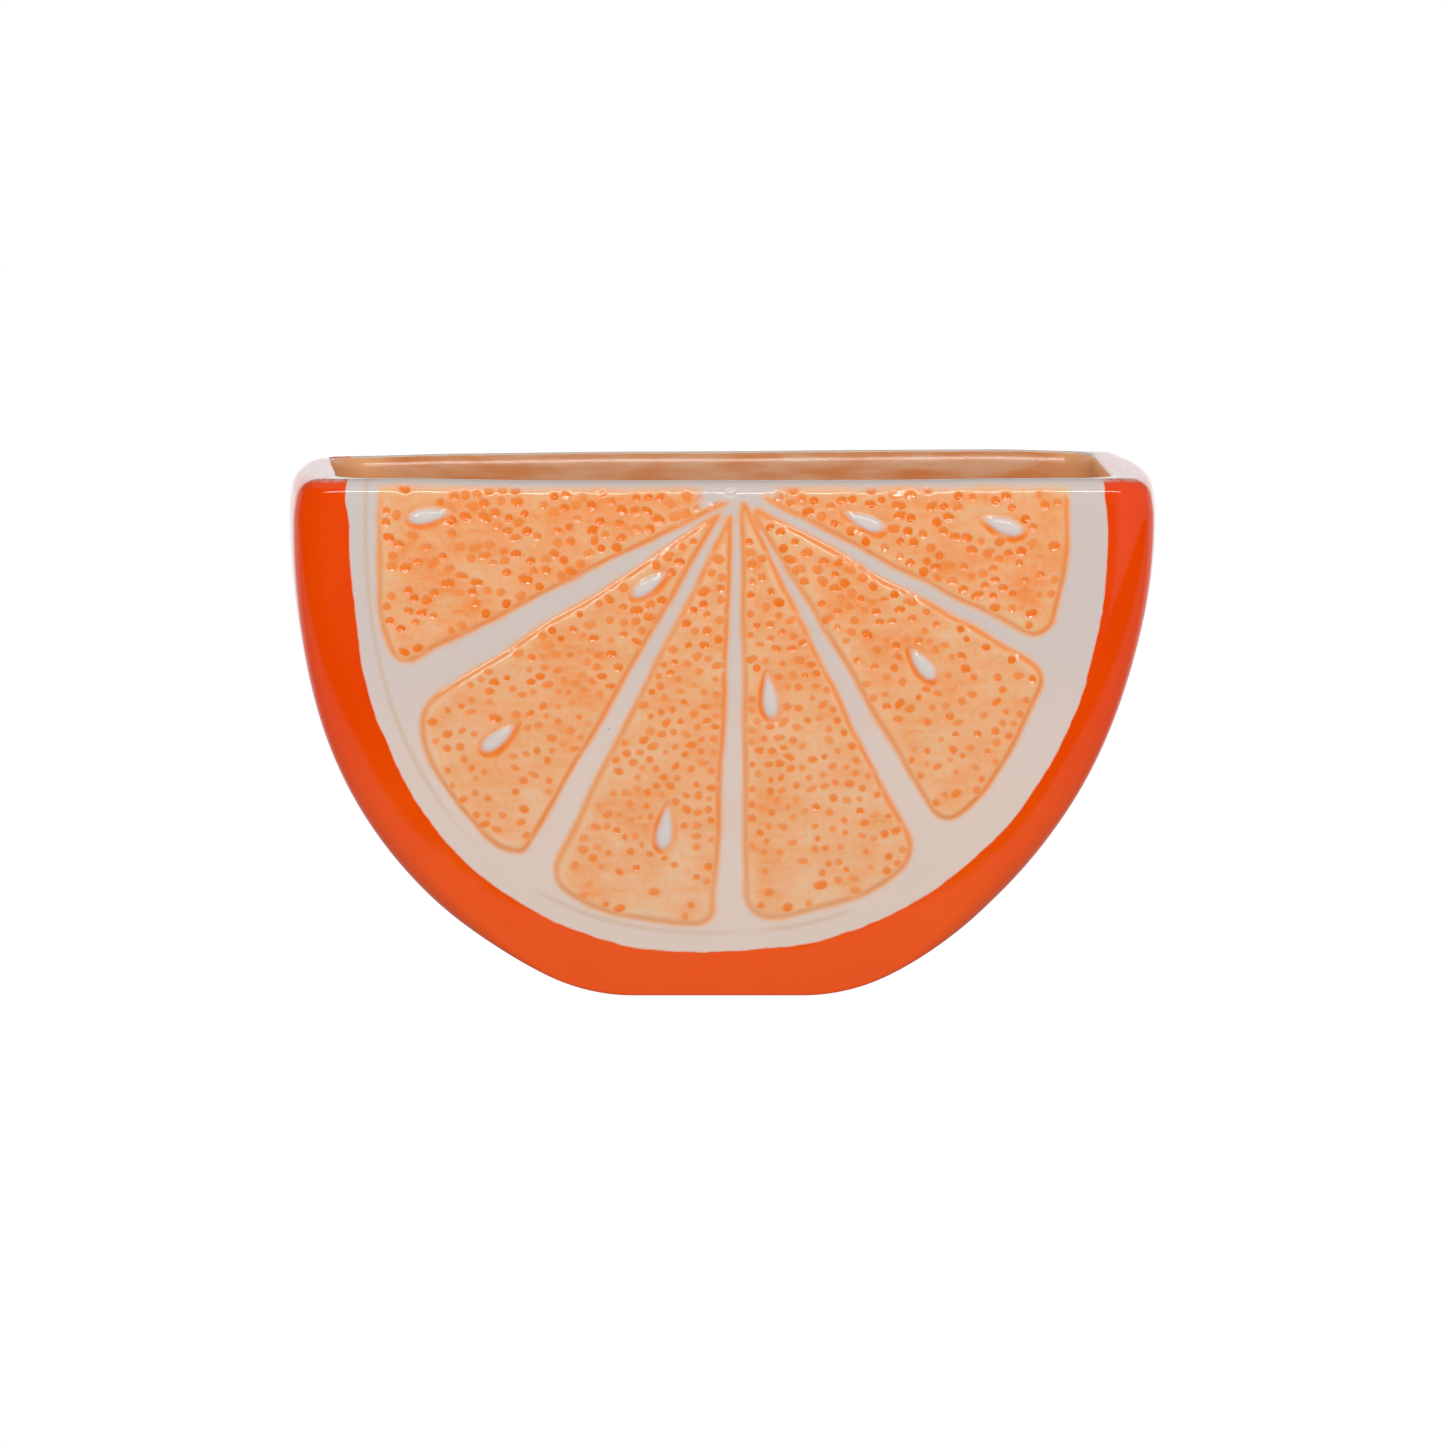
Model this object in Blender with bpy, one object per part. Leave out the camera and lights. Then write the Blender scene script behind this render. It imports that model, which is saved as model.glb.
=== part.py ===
"""Glazed ceramic planter in the form of half an orange slice.

One hollow casting, open at the top: a half-round body with a flat foot, rolled edges and
a rounded rim, and the slice's six raised segments and its seeds in low relief on both faces.
Metres, +Z up.  The origin is the middle of the foot, and the front face looks along -Y.
"""

import math

import bmesh
import bpy

MM = 0.001

# Body, seen from the front: half an ellipse that stands on a flat foot
HEIGHT = 93.8 * MM
ELLIPSE_Z = 85.0 * MM       # height of the ellipse's centre, just under the rim
ELLIPSE_HALF_X = 77.1 * MM
ELLIPSE_HALF_Z = 88.4 * MM
FOOT_ROUND = 32.0 * MM      # radius where the flanks turn into the foot
LOW_FLANK = 0.82 * MM       # the lower flanks are fuller than the ellipse
LOW_FLANK_Z = (-2.0 * MM, 4.0 * MM, 34.0 * MM, 66.0 * MM)   # begins, full, fades, ends
LOW_FLANK_FULL_X = 12.0 * MM  # none of it in the middle of the foot, all of it from here out
LEAN = 1.72 * MM            # the fired body sits this far to the left low down
LEAN_REACH = 0.72           # and reaches that over this share of the height
FOOT_LEAN = 0.85 * MM       # the foot itself is less out of line
FOOT_LEAN_Z = (4.25 * MM, 18.7 * MM)   # between these heights the one turns into the other

# Body, from front to back
PITH_DEPTH = 69.0 * MM      # between the white grounds of the two faces
EDGE_ROUND = 4.0 * MM       # depth of the roll from a face into the side
EDGE_WIDE = 7.0 * MM        # how far the roll reaches in from the side
FOOT_EDGE = 0.6 * MM        # depth and reach of the same edge at the foot
EDGE_DEEPENS_Z = (1.0 * MM, 20.0 * MM)    # the edge grows to its full depth between these heights
EDGE_WIDENS_Z = (16.0 * MM, 44.0 * MM)    # and to its full reach between these
CROWN = 2.75 * MM           # how far the side bulges between its two edges
CROWN_FROM_Z = 2.0 * MM     # the crown starts here, so that the foot stays flat
CROWN_FULL_Z = 14.0 * MM

# Cavity and rim
FACE_WALL = 4.4 * MM
END_WALL = 6.3 * MM
FLOOR = 6.0 * MM
CAVITY_ROUND = 7.0 * MM     # radius of the cavity's upright corners
FLOOR_ROUND = 5.0 * MM      # radius from the floor up into the walls
RIM_ROUND = 3.0 * MM        # outer edge of the rim
MOUTH_ROUND = 1.2 * MM      # inner edge of the rim

# Relief on the faces: raised segments with rounded shoulders, and seeds on them
SEGMENT_RISE = 0.5 * MM
SHOULDER = 1.3 * MM
SHOULDER_PROFILE = [(0.0, 0.15), (0.3, 0.65), (0.65, 0.9), (1.0, 1.0)]  # shares inwards and up
SEED_RISE = 0.6 * MM        # above the segment
SEED_WIDTH = 3.2 * MM
SEED_TAPER = 0.28           # a seed is slimmer by this share towards its tip
ROOT = 0.8 * MM             # how far a raised piece reaches into the wall under it
SEGMENT_TOP = 90.8 * MM     # the upper two segments run up to the rolled rim

# Corners of each segment in millimetres: across, up, and the radius of the corner
SEGMENTS = {
    "upper_left": [(-61.4, None, 0.3), (-61.4, 79.6, 50.0), (-59.1, 60.2, 3.9), (2.2, None, 0.3)],
    "left": [(0.5, 88.5, 0.4), (-54.6, 52.8, 2.5), (-52.1, 41.1, 10.0), (-37.9, 25.8, 3.2)],
    "lower_left": [(1.6, 86.8, 0.4), (-31.8, 22.6, 2.5), (-21.4, 15.3, 12.6), (-1.1, 12.6, 2.9)],
    "lower_right": [
        (3.3, 90.8, 0.4), (3.8, 14.2, 2.5), (18.6, 15.3, 14.4), (35.9, 25.6, 3.2), (19.9, 54.4, 50.0),
    ],
    "right": [(4.3, 90.4, 0.8), (40.3, 29.5, 3.9), (47.9, 37.7, 10.8), (59.6, 58.6, 3.9)],
    "upper_right": [(7.8, None, 0.3), (60.8, 63.2, 4.7), (61.9, 79.6, 50.0), (61.9, None, 0.3)],
}

# Tip and round end of each seed in millimetres
SEEDS = [
    ((-48.6, 88.3), (-56.2, 86.9)),
    ((-10.3, 77.2), (-16.4, 73.1)),
    ((-37.6, 49.7), (-43.4, 45.1)),
    ((-9.7, 34.9), (-10.8, 27.1)),
    ((8.0, 59.0), (8.9, 51.0)),
    ((33.5, 63.1), (37.9, 57.7)),
    ((21.9, 88.3), (29.1, 85.0)),
    ((46.5, 87.1), (53.9, 84.6)),
]

# Fineness of the faceted surface
ELLIPSE_STEPS = 20          # on each flank
FOOT_STEPS = 6              # on the arc from each flank into the foot
CORNER_STEPS = 4            # on each upright corner and on the roll from a face into the side
RIM_STEPS = 4
SIDE_SHARES = (-0.6, -0.2, 0.2, 0.6)   # edges across the side, as shares of its flat half depth
CAVITY_STEPS = 14
ARC_STEP = math.radians(18)
SEED_SIDES = 10
SEED_RINGS = 6
SHARP_ANGLE = math.radians(40)
SEARCH_STEPS = 40

GLAZE = {"colour": (0.80, 0.16, 0.03, 1.0), "roughness": 0.12}


def clear_scene():
    for item in list(bpy.data.objects):
        bpy.data.objects.remove(item, do_unlink=True)


def new_object(name, mesh):
    item = bpy.data.objects.new(name, mesh)
    bpy.context.scene.collection.objects.link(item)
    return item


def smoothstep(low, high, value):
    t = min(max((value - low) / (high - low), 0.0), 1.0)
    return t * t * (3.0 - 2.0 * t)


def lean(z):
    """Sideways shift of the body at a height: most along the lower flanks, less at the foot."""
    down = min(max(1.0 - z / ELLIPSE_Z, 0.0), 1.0)
    out = 0.5 - 0.5 * math.cos(math.pi * min(down / LEAN_REACH, 1.0))
    foot = 1.0 - smoothstep(*FOOT_LEAN_Z, z)
    return (LEAN - FOOT_LEAN) * foot - LEAN * out


def rounded(corners, inset=0.0):
    """Closed outline of corners (x, z, radius), moved in by inset.

    The corners run counter-clockwise as seen with x to the right and z up.
    """
    count = len(corners)
    edges = []
    for i in range(count):
        ax, az, _ = corners[i]
        bx, bz, _ = corners[(i + 1) % count]
        length = math.hypot(bx - ax, bz - az)
        dx, dz = (bx - ax) / length, (bz - az) / length
        edges.append((ax - dz * inset, az + dx * inset, dx, dz))

    points = []
    for i in range(count):
        px, pz, pdx, pdz = edges[i - 1]
        qx, qz, qdx, qdz = edges[i]
        turn = pdx * qdz - pdz * qdx
        along = ((qx - px) * qdz - (qz - pz) * qdx) / turn
        cx, cz = px + pdx * along, pz + pdz * along
        side = math.copysign(1.0, turn)
        radius = max(corners[i][2] - side * inset, 0.1 * MM)
        angle = math.atan2(turn, pdx * qdx + pdz * qdz)
        back = radius * abs(math.tan(angle / 2))
        mx = cx - pdx * back - pdz * radius * side
        mz = cz - pdz * back + pdx * radius * side
        start = math.atan2(-pdx * side, pdz * side)
        steps = max(1, math.ceil(abs(angle) / ARC_STEP))
        for k in range(steps + 1):
            a = start + angle * k / steps
            points.append((mx + radius * math.cos(a), mz + radius * math.sin(a)))
    return points


def half_width(z):
    """Half the body's width at a height, on the ellipse."""
    return ELLIPSE_HALF_X * math.sqrt(1.0 - ((z - ELLIPSE_Z) / ELLIPSE_HALF_Z) ** 2)


def ellipse_point(angle):
    """Point of the ellipse and its outward normal, at an angle from straight down."""
    x, z = math.sin(angle), -math.cos(angle)
    nx, nz = x / ELLIPSE_HALF_X, z / ELLIPSE_HALF_Z
    size = math.hypot(nx, nz)
    return (ELLIPSE_HALF_X * x, ELLIPSE_Z + ELLIPSE_HALF_Z * z), (nx / size, nz / size)


def foot_angle():
    """Angle at which the foot's arc, standing on the ground, touches the ellipse."""
    low, high = 0.0, math.pi / 2
    for _ in range(SEARCH_STEPS):
        middle = (low + high) / 2
        (_, z), (_, nz) = ellipse_point(middle)
        if z - FOOT_ROUND * nz < FOOT_ROUND:
            low = middle
        else:
            high = middle
    return low


def flank_swell(x, z):
    """How much further out the lower flank stands than the ellipse and the foot's arc."""
    begins, full, fades, ends = LOW_FLANK_Z
    share = smoothstep(begins, full, z) * (1.0 - smoothstep(fades, ends, z))
    return LOW_FLANK * share * min(x / LOW_FLANK_FULL_X, 1.0)


def body_outline():
    """Front outline (x, z) and outward normals, from the left shoulder down and round to the right."""
    touch = foot_angle()
    (touch_x, _), (nx, nz) = ellipse_point(touch)
    foot_x = touch_x - FOOT_ROUND * nx
    turn = math.atan2(nx, -nz)
    half = []
    for i in range(FOOT_STEPS):
        a = turn * i / FOOT_STEPS
        out, down = math.sin(a), -math.cos(a)
        x, z = foot_x + FOOT_ROUND * out, FOOT_ROUND * (1 + down)
        half.append((x + flank_swell(x, z), z, out, down))
    top = math.acos((ELLIPSE_Z - HEIGHT + RIM_ROUND) / ELLIPSE_HALF_Z)
    for i in range(ELLIPSE_STEPS + 1):
        (x, z), (nx, nz) = ellipse_point(touch + (top - touch) * i / ELLIPSE_STEPS)
        if z >= ELLIPSE_Z:
            nx, nz = 1.0, 0.0
        half.append((x + flank_swell(x, z), z, nx, nz))
    left = [(lean(z) - x, z, -nx, nz) for x, z, nx, nz in reversed(half)]
    return left + [(lean(z) + x, z, nx, nz) for x, z, nx, nz in half]


def edge_size(z):
    """Depth and reach of the roll from a face into the side, which is small at the foot."""
    deep = FOOT_EDGE + (EDGE_ROUND - FOOT_EDGE) * smoothstep(*EDGE_DEEPENS_Z, z)
    wide = deep + (EDGE_WIDE - EDGE_ROUND) * smoothstep(*EDGE_WIDENS_Z, z)
    return deep, wide


def end_profile(half_depth, deep, wide, crown):
    """One end in plan, front to back: (y, how far out from the end of the straight front)."""
    front = []
    for i in range(CORNER_STEPS + 1):
        a = math.pi / 2 * i / CORNER_STEPS
        front.append((-half_depth + deep * (1 - math.cos(a)), wide * math.sin(a)))
    reach = half_depth - deep
    middle = [(reach * share, wide) for share in SIDE_SHARES]
    back = [(-y, out) for y, out in reversed(front)]
    return [(y, out + crown * (1.0 - (y / half_depth) ** 2)) for y, out in front + middle + back]


def plan_ring(bm, z, half_x, half_depth, deep, wide, crown=0.0):
    """Level ring: a rectangle with round corners and bulging ends, left end first."""
    ends = end_profile(half_depth, deep, wide, crown)
    left = [bm.verts.new((lean(z) - half_x + wide - out, y, z)) for y, out in ends]
    right = [bm.verts.new((lean(z) + half_x - wide + out, y, z)) for y, out in reversed(ends)]
    return left + right


def bridge(bm, first, second):
    for i in range(len(first)):
        j = (i + 1) % len(first)
        bm.faces.new((first[i], first[j], second[j], second[i]))


def add_outside(bm):
    """Both faces and the rolled side between them; returns the ring at the shoulder."""
    columns = []
    for x, z, nx, nz in body_outline():
        crown = CROWN * smoothstep(CROWN_FROM_Z, CROWN_FULL_Z, z)
        deep, wide = edge_size(z)
        column = []
        for y, out in end_profile(PITH_DEPTH / 2, deep, wide, crown):
            column.append(bm.verts.new((x + nx * (out - wide), y, z + nz * (out - wide))))
        columns.append(column)
    for first, second in zip(columns, columns[1:]):
        for i in range(len(first) - 1):
            bm.faces.new((first[i], first[i + 1], second[i + 1], second[i]))
    bm.faces.new([column[0] for column in columns])
    bm.faces.new([column[-1] for column in columns])
    return columns[0] + columns[-1][::-1]


def rim_rings(bm):
    """Rings over the rim: outer roll, flat top, inner roll."""
    rings = []
    for i in range(1, RIM_STEPS + 1):
        a = math.pi / 2 * i / RIM_STEPS
        inward = RIM_ROUND * (1 - math.cos(a))
        z = HEIGHT - RIM_ROUND * (1 - math.sin(a))
        half_depth = PITH_DEPTH / 2 - inward
        half_x = half_width(z) - inward
        rings.append(plan_ring(bm, z, half_x, half_depth, EDGE_ROUND - inward, EDGE_WIDE - inward, CROWN))
    for i in range(RIM_STEPS + 1):
        a = math.pi / 2 * i / RIM_STEPS
        outward = MOUTH_ROUND * (1 - math.sin(a))
        z = HEIGHT - MOUTH_ROUND * (1 - math.cos(a))
        half_x = half_width(z) - END_WALL + outward
        half_depth = PITH_DEPTH / 2 - FACE_WALL + outward
        corner = CAVITY_ROUND + outward
        rings.append(plan_ring(bm, z, half_x, half_depth, corner, corner))
    return rings


def cavity_rings(bm):
    """Rings down the inside, which follows the body within its walls, and turns into the floor."""
    inner_x = ELLIPSE_HALF_X - END_WALL
    inner_z = ELLIPSE_HALF_Z - END_WALL
    floor_angle = math.acos((ELLIPSE_Z - FLOOR) / inner_z)
    rings = []
    for i in range(CAVITY_STEPS + 1):
        a = math.pi / 2 + (floor_angle - math.pi / 2) * i / CAVITY_STEPS
        z = ELLIPSE_Z - inner_z * math.cos(a)
        left = 1.0 - min((z - FLOOR) / FLOOR_ROUND, 1.0)
        tuck = FLOOR_ROUND * (1 - math.sqrt(1 - left * left))
        half_depth = PITH_DEPTH / 2 - FACE_WALL - tuck
        rings.append(plan_ring(bm, z, inner_x * math.sin(a), half_depth, CAVITY_ROUND, CAVITY_ROUND))
    return rings


def build_body():
    bm = bmesh.new()
    rings = [add_outside(bm)] + rim_rings(bm) + cavity_rings(bm)
    for first, second in zip(rings, rings[1:]):
        bridge(bm, first, second)
    bm.faces.new(rings[-1])
    return finished(bm, "planter")


def segment_corners(corners):
    return [(x * MM, SEGMENT_TOP if z is None else z * MM, r * MM) for x, z, r in corners]


def build_segments():
    """Raised segments of both faces as one guide, each with a rounded shoulder."""
    bm = bmesh.new()
    ground = PITH_DEPTH / 2
    steps = [(0.0, -ROOT)]
    for inward, rise in SHOULDER_PROFILE:
        steps.append((SHOULDER * inward, SEGMENT_RISE * rise))
    for side in (-1, 1):
        for corners in SEGMENTS.values():
            rings = []
            for inset, height in steps:
                outline = rounded(segment_corners(corners), inset)
                y = side * (ground + height)
                rings.append([bm.verts.new((x, y, z)) for x, z in outline])
            for first, second in zip(rings, rings[1:]):
                bridge(bm, first, second)
            bm.faces.new(rings[0])
            bm.faces.new(rings[-1])
    return guide(finished(bm, "segment_relief"))


def build_seeds():
    """Raised seeds of both faces as one guide: drops with one pointed and one round end."""
    bm = bmesh.new()
    ground = PITH_DEPTH / 2 + SEGMENT_RISE
    for side in (-1, 1):
        for (tip_x, tip_z), (end_x, end_z) in SEEDS:
            length = math.hypot(end_x - tip_x, end_z - tip_z) * MM
            angle = math.atan2(end_z - tip_z, end_x - tip_x)
            ball = bmesh.ops.create_uvsphere(bm, u_segments=SEED_SIDES, v_segments=SEED_RINGS, radius=1.0)
            for vert in ball["verts"]:
                along, across, up = vert.co.z, vert.co.x, vert.co.y
                slim = 1.0 - SEED_TAPER * (1.0 - along)
                lx = (along + 1) / 2 * length
                lz = across * slim * SEED_WIDTH / 2
                x = tip_x * MM + lx * math.cos(angle) - lz * math.sin(angle)
                z = tip_z * MM + lx * math.sin(angle) + lz * math.cos(angle)
                vert.co = (x, side * (ground + up * slim * SEED_RISE), z)
    return guide(finished(bm, "seed_relief"))


def finished(bm, name):
    bmesh.ops.recalc_face_normals(bm, faces=bm.faces)
    mesh = bpy.data.meshes.new(name)
    bm.to_mesh(mesh)
    bm.free()
    return new_object(name, mesh)


def guide(item):
    item.hide_render = True
    item.display_type = "WIRE"
    return item


def add_union(body, raised):
    modifier = body.modifiers.new(raised.name, "BOOLEAN")
    modifier.object = raised
    modifier.operation = "UNION"
    modifier.solver = "EXACT"


def glaze_material():
    material = bpy.data.materials.new("orange_glaze")
    material.use_nodes = True
    shader = material.node_tree.nodes["Principled BSDF"]
    shader.inputs["Base Color"].default_value = GLAZE["colour"]
    shader.inputs["Roughness"].default_value = GLAZE["roughness"]
    shader.inputs["Metallic"].default_value = 0.0
    shader.inputs["Coat Weight"].default_value = 1.0
    return material


def main():
    clear_scene()
    planter = build_body()
    add_union(planter, build_segments())
    add_union(planter, build_seeds())
    planter.data.shade_smooth()
    planter.data.set_sharp_from_angle(angle=SHARP_ANGLE)
    planter.data.materials.append(glaze_material())


main()
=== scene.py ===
import math
import bmesh
import bpy
import numpy as np
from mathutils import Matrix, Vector, geometry, kdtree


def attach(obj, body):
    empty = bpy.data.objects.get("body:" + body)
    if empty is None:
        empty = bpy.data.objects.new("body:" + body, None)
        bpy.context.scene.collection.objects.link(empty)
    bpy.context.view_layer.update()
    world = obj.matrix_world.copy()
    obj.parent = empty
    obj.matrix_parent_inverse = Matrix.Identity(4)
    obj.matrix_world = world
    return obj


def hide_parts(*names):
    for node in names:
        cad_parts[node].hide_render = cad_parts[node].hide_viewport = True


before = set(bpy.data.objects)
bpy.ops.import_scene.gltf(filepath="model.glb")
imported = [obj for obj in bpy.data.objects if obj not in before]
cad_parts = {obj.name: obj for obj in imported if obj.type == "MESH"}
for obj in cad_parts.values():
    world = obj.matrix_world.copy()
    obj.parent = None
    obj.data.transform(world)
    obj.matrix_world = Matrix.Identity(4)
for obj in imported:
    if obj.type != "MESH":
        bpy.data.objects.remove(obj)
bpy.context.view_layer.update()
print("stage: frame loaded")

mm = 0.001  # lengths below are in millimetres until a mesh is written


def ease(low, high, value):
    t = np.clip((value - low) / (high - low), 0.0, 1.0)
    return t * t * (3.0 - 2.0 * t)


def hump(middle, width, value):
    return np.exp(-((value - middle) / width) ** 2)


def waves(x, y, z, size, seed):
    # soft unevenness between about -1 and 1, from a few sine waves in scattered directions
    rng = np.random.default_rng(seed)
    total = 0.0
    for _ in range(7):
        direction = rng.normal(size=3)
        direction *= 2.0 * math.pi / (size * rng.uniform(0.7, 1.5) * np.linalg.norm(direction))
        total = total + np.sin(x * direction[0] + y * direction[1] + z * direction[2] + rng.uniform(0.0, 7.0))
    return total / 2.8


# the casting: a half-round body on a flat foot, with rolled edges, a rim and a cavity; where two numbers
# stand together, a change eases in from the first height, place or share to the second
pot = {
    "height": 93.8,
    "ellipseZ": 85.0,  # height of the ellipse's centre, just under the rim
    "ellipseHalfX": 77.1,
    "ellipseHalfZ": 88.4,
    "footRound": 32.0,  # where the flanks turn into the foot
    "lean": 1.72,  # the fired body sits this far to the left low down
    "leanFull": 0.72,  # from this share of the way down
    "footLean": 0.85,  # and this far to the left at its foot
    "footLeanShare": (0.78, 0.95),
    "lowFlank": 0.82,  # the lower flanks are fuller than the ellipse
    "flankFootZ": (-2.0, 4.0),
    "flankTopZ": (66.0, 34.0),
    "flankFullX": 12.0,  # from here outwards
    "halfDepth": 34.5,  # to the white ground of each face
    "edgeRound": 4.0,  # depth of the round from a face into the side
    "edgeWide": 7.0,  # and how far it reaches in from the side
    "footEdge": 0.6,  # the same edge at the foot
    "edgeDeepensZ": (1.0, 20.0),
    "edgeWidensZ": (44.0, 16.0),
    "crown": 2.75,  # bulge of the side between its two edges
    "crownZ": (2.0, 14.0),
    "leftInset": 0.6,  # the front is set in a little at the left, high up
    "leftCrown": 0.5,  # and the side bulges this much more there
    "leftZ": (45.0, 75.0),
    "rimRoll": 3.0,  # outer edge of the rim
    "rollNarrows": (0.062, 0.008),  # by the distance up it, and by that squared
    "faceWall": 4.4,
    "endWall": 6.3,
    "floor": 6.0,
    "cavityRound": 7.0,
    "floorRound": 5.0,
    "chamferWide": 1.1,  # the sponged inner edge of the rim
    "chamferDeep": 2.4,
    # shares of the chamfer's width left and of its depth reached
    "chamfer": [(1.0, 0.0), (0.86, 0.02), (0.72, 0.09), (0.5, 0.26), (0.22, 0.6), (0.09, 0.82), (0.02, 1.0),
                (0.0, 1.25)],
    "orangeFrom": (0.02, 0.3),  # share of its depth at which the inside colour starts
    "leftEndX": (-45.0, -70.0),  # where the left end is, for the two skews below
    "leftEndZ": (62.0, 88.0),
    "leftSkew": 3.4,  # the cavity's left end runs outwards to the back
    "leftSkewY": (-30.0, 24.0),
    "backSkew": 1.0,  # and so does the whole left end, by less
    "backSkewY": (-30.0, 30.0),
    "bareBelow": 0.02,  # the foot is bare clay
    "unevenness": 0.13,  # slow waves left by casting and firing
    "unevenWaves": ((55.0, 21), (55.0, 22), (60.0, 23)),  # size and seed, across, deep and up
    "unevenZ": (0.5, 12.0),
    "rimBendsFrom": 60.0,  # height from which the rim bends
    "backWave": 0.42,  # the back rim rises to the right
    "backWaveX": (8.0, 42.0),  # middle of that wave, and its length over two pi
    "backDroop": 0.6,  # and falls at both ends
    "backDroopX": (50.0, 72.0),
    "backY": (10.0, 34.0),
    "frontSag": 0.5,  # the front rim sags in the middle and rises by less at its ends
    "frontSagX": (30.0, 74.0),
    "frontSagMiddle": 0.6,
    "frontY": (-10.0, -34.0),
    "rimDraw": 0.65,  # both ends draw in towards the rim
    "rimDrawX": (56.0, 78.0),
    "rimDrawFrom": 86.5,
}

# steps, gaps and counts of the points that the surfaces are made of
mesh = {
    "outlineStep": 1.15,  # along the side band
    "rollSteps": 9,
    "sideSteps": 20,
    "rimSteps": 7,
    "rowStep": 1.15,  # along the rim
    "evenRowX": 45.0,  # the rim's points keep their places this far out, or to this share
    "evenRowShare": 0.7,
    "cavitySteps": 24,
    "floorStep": 3.0,
    "floorHalf": (15.0, 22.0),  # reach of the points in the middle of the floor
    "loopStep": 0.95,  # along the grooves round the segments
    "seedStep": 0.6,
    "dropSteps": 22,
    "seedInner": (0.35, 0.7),  # sizes of the rings inside a seed
    "seedMiddle": 0.62,
    "pitRings": ((0.45, 6), (0.85, 9), (1.18, 11), (1.6, 12)),  # reach in radii, and points
    "pointGap": 0.27,  # loose points stay this far apart
    "pulpStep": 1.15,
    "pithStep": 2.1,
    "arcStep": math.radians(9.0),
    "touchSearch": (0.05, 1.4, 50),  # angles between which the foot's arc touches the ellipse, and tries
    "outlineSamples": (200, 80, 900),  # on the flat foot, its arc and the ellipse
    "pitClear": 0.3,  # lines of points stop this far from a pit
    "seedClear": 1.4,
    "rimClear": 0.3,
    "loopTrim": 0.1,
    "ringTrim": 0.95,
    "lipFrom": 0.2,  # the outermost ring of a pit is kept only over it
    "gridHalf": 80.0,  # the even points in between: their reach, where they start on the pulp and the
    "gridPulp": 0.5,  # white ground, and in steps their gaps to the sides, the top and other points
    "gridPith": -0.6,
    "gridGaps": (0.6, 0.4, 0.62),
    "joinGap": 0.004,
}

shoulderZ = pot["height"] - pot["rimRoll"]
domainTop = shoulderZ + pot["rimRoll"] * math.pi / 2.0


def leftShift(z):
    return 0.5 * pot["leftInset"] * ease(*pot["leftZ"], z)


def lean(z):
    t = np.clip(1.0 - z / pot["ellipseZ"], 0.0, 1.0)
    out = 0.5 - 0.5 * np.cos(math.pi * np.minimum(t / pot["leanFull"], 1.0))
    return (pot["lean"] - pot["footLean"]) * ease(*pot["footLeanShare"], t) - pot["lean"] * out + leftShift(z)


def halfWidth(z):
    across = np.sqrt(1.0 - ((z - pot["ellipseZ"]) / pot["ellipseHalfZ"]) ** 2)
    return pot["ellipseHalfX"] * across - leftShift(z)


def flankSwell(z):
    return pot["lowFlank"] * ease(*pot["flankFootZ"], z) * ease(*pot["flankTopZ"], z) - leftShift(z)


def sideCrown(z, left):
    more = pot["leftCrown"] * float(ease(*pot["leftZ"], z)) if left else 0.0
    return pot["crown"] * float(ease(*pot["crownZ"], z)) + more


def leftEnd(x, z):
    return ease(*pot["leftEndX"], x) * ease(*pot["leftEndZ"], z)


def lengthsAlong(points):
    return np.concatenate([[0.0], np.cumsum(np.hypot(*np.diff(points, axis=0).T))])


def bodyStations():
    # front outline with its outward normals, from the left shoulder down and round to the right one
    a, b, r = pot["ellipseHalfX"], pot["ellipseHalfZ"], pot["footRound"]

    def ellipseAt(angle):
        normal = np.array([math.sin(angle) / a, -math.cos(angle) / b])
        normal /= np.linalg.norm(normal)
        return np.array([a * math.sin(angle), pot["ellipseZ"] - b * math.cos(angle)]), normal

    low, high, tries = mesh["touchSearch"]
    for _ in range(tries):  # the foot's arc touches both the ellipse and the ground
        middle = (low + high) / 2.0
        point, normal = ellipseAt(middle)
        if point[1] - r * normal[1] < r:
            low = middle
        else:
            high = middle
    touch, normal = ellipseAt(low)
    centre = touch - r * normal
    onFoot, onArc, onEllipse = mesh["outlineSamples"]
    half = [(centre[0] * t, 0.0) for t in np.linspace(0.0, 1.0, onFoot, endpoint=False)]
    for angle in np.linspace(-math.pi / 2.0, math.atan2(normal[1], normal[0]), onArc, endpoint=False):
        half.append((centre[0] + r * math.cos(angle), r + r * math.sin(angle)))
    top = math.acos((pot["ellipseZ"] - shoulderZ) / b)
    half += [tuple(ellipseAt(t)[0]) for t in np.linspace(low, top, onEllipse)]
    half = np.array(half)
    along = lengthsAlong(half)
    steps = np.linspace(0.0, along[-1], round(along[-1] / mesh["outlineStep"]) + 1)
    x, z = np.interp(steps, along, half[:, 0]), np.interp(steps, along, half[:, 1])
    x, z = np.concatenate([-x[:0:-1], x]), np.concatenate([z[:0:-1], z])
    dx, dz = np.gradient(x), np.gradient(z)
    size = np.hypot(dx, dz)
    nx, nz = dz / size, -dx / size
    upright = z >= pot["ellipseZ"]
    nx, nz = np.where(upright, np.sign(x), nx), np.where(upright, 0.0, nz)
    flat = z < 1e-6
    nx, nz = np.where(flat, 0.0, nx), np.where(flat, -1.0, nz)
    return x + np.clip(x / pot["flankFullX"], -1.0, 1.0) * flankSwell(z) + lean(z), z, nx, nz


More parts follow.
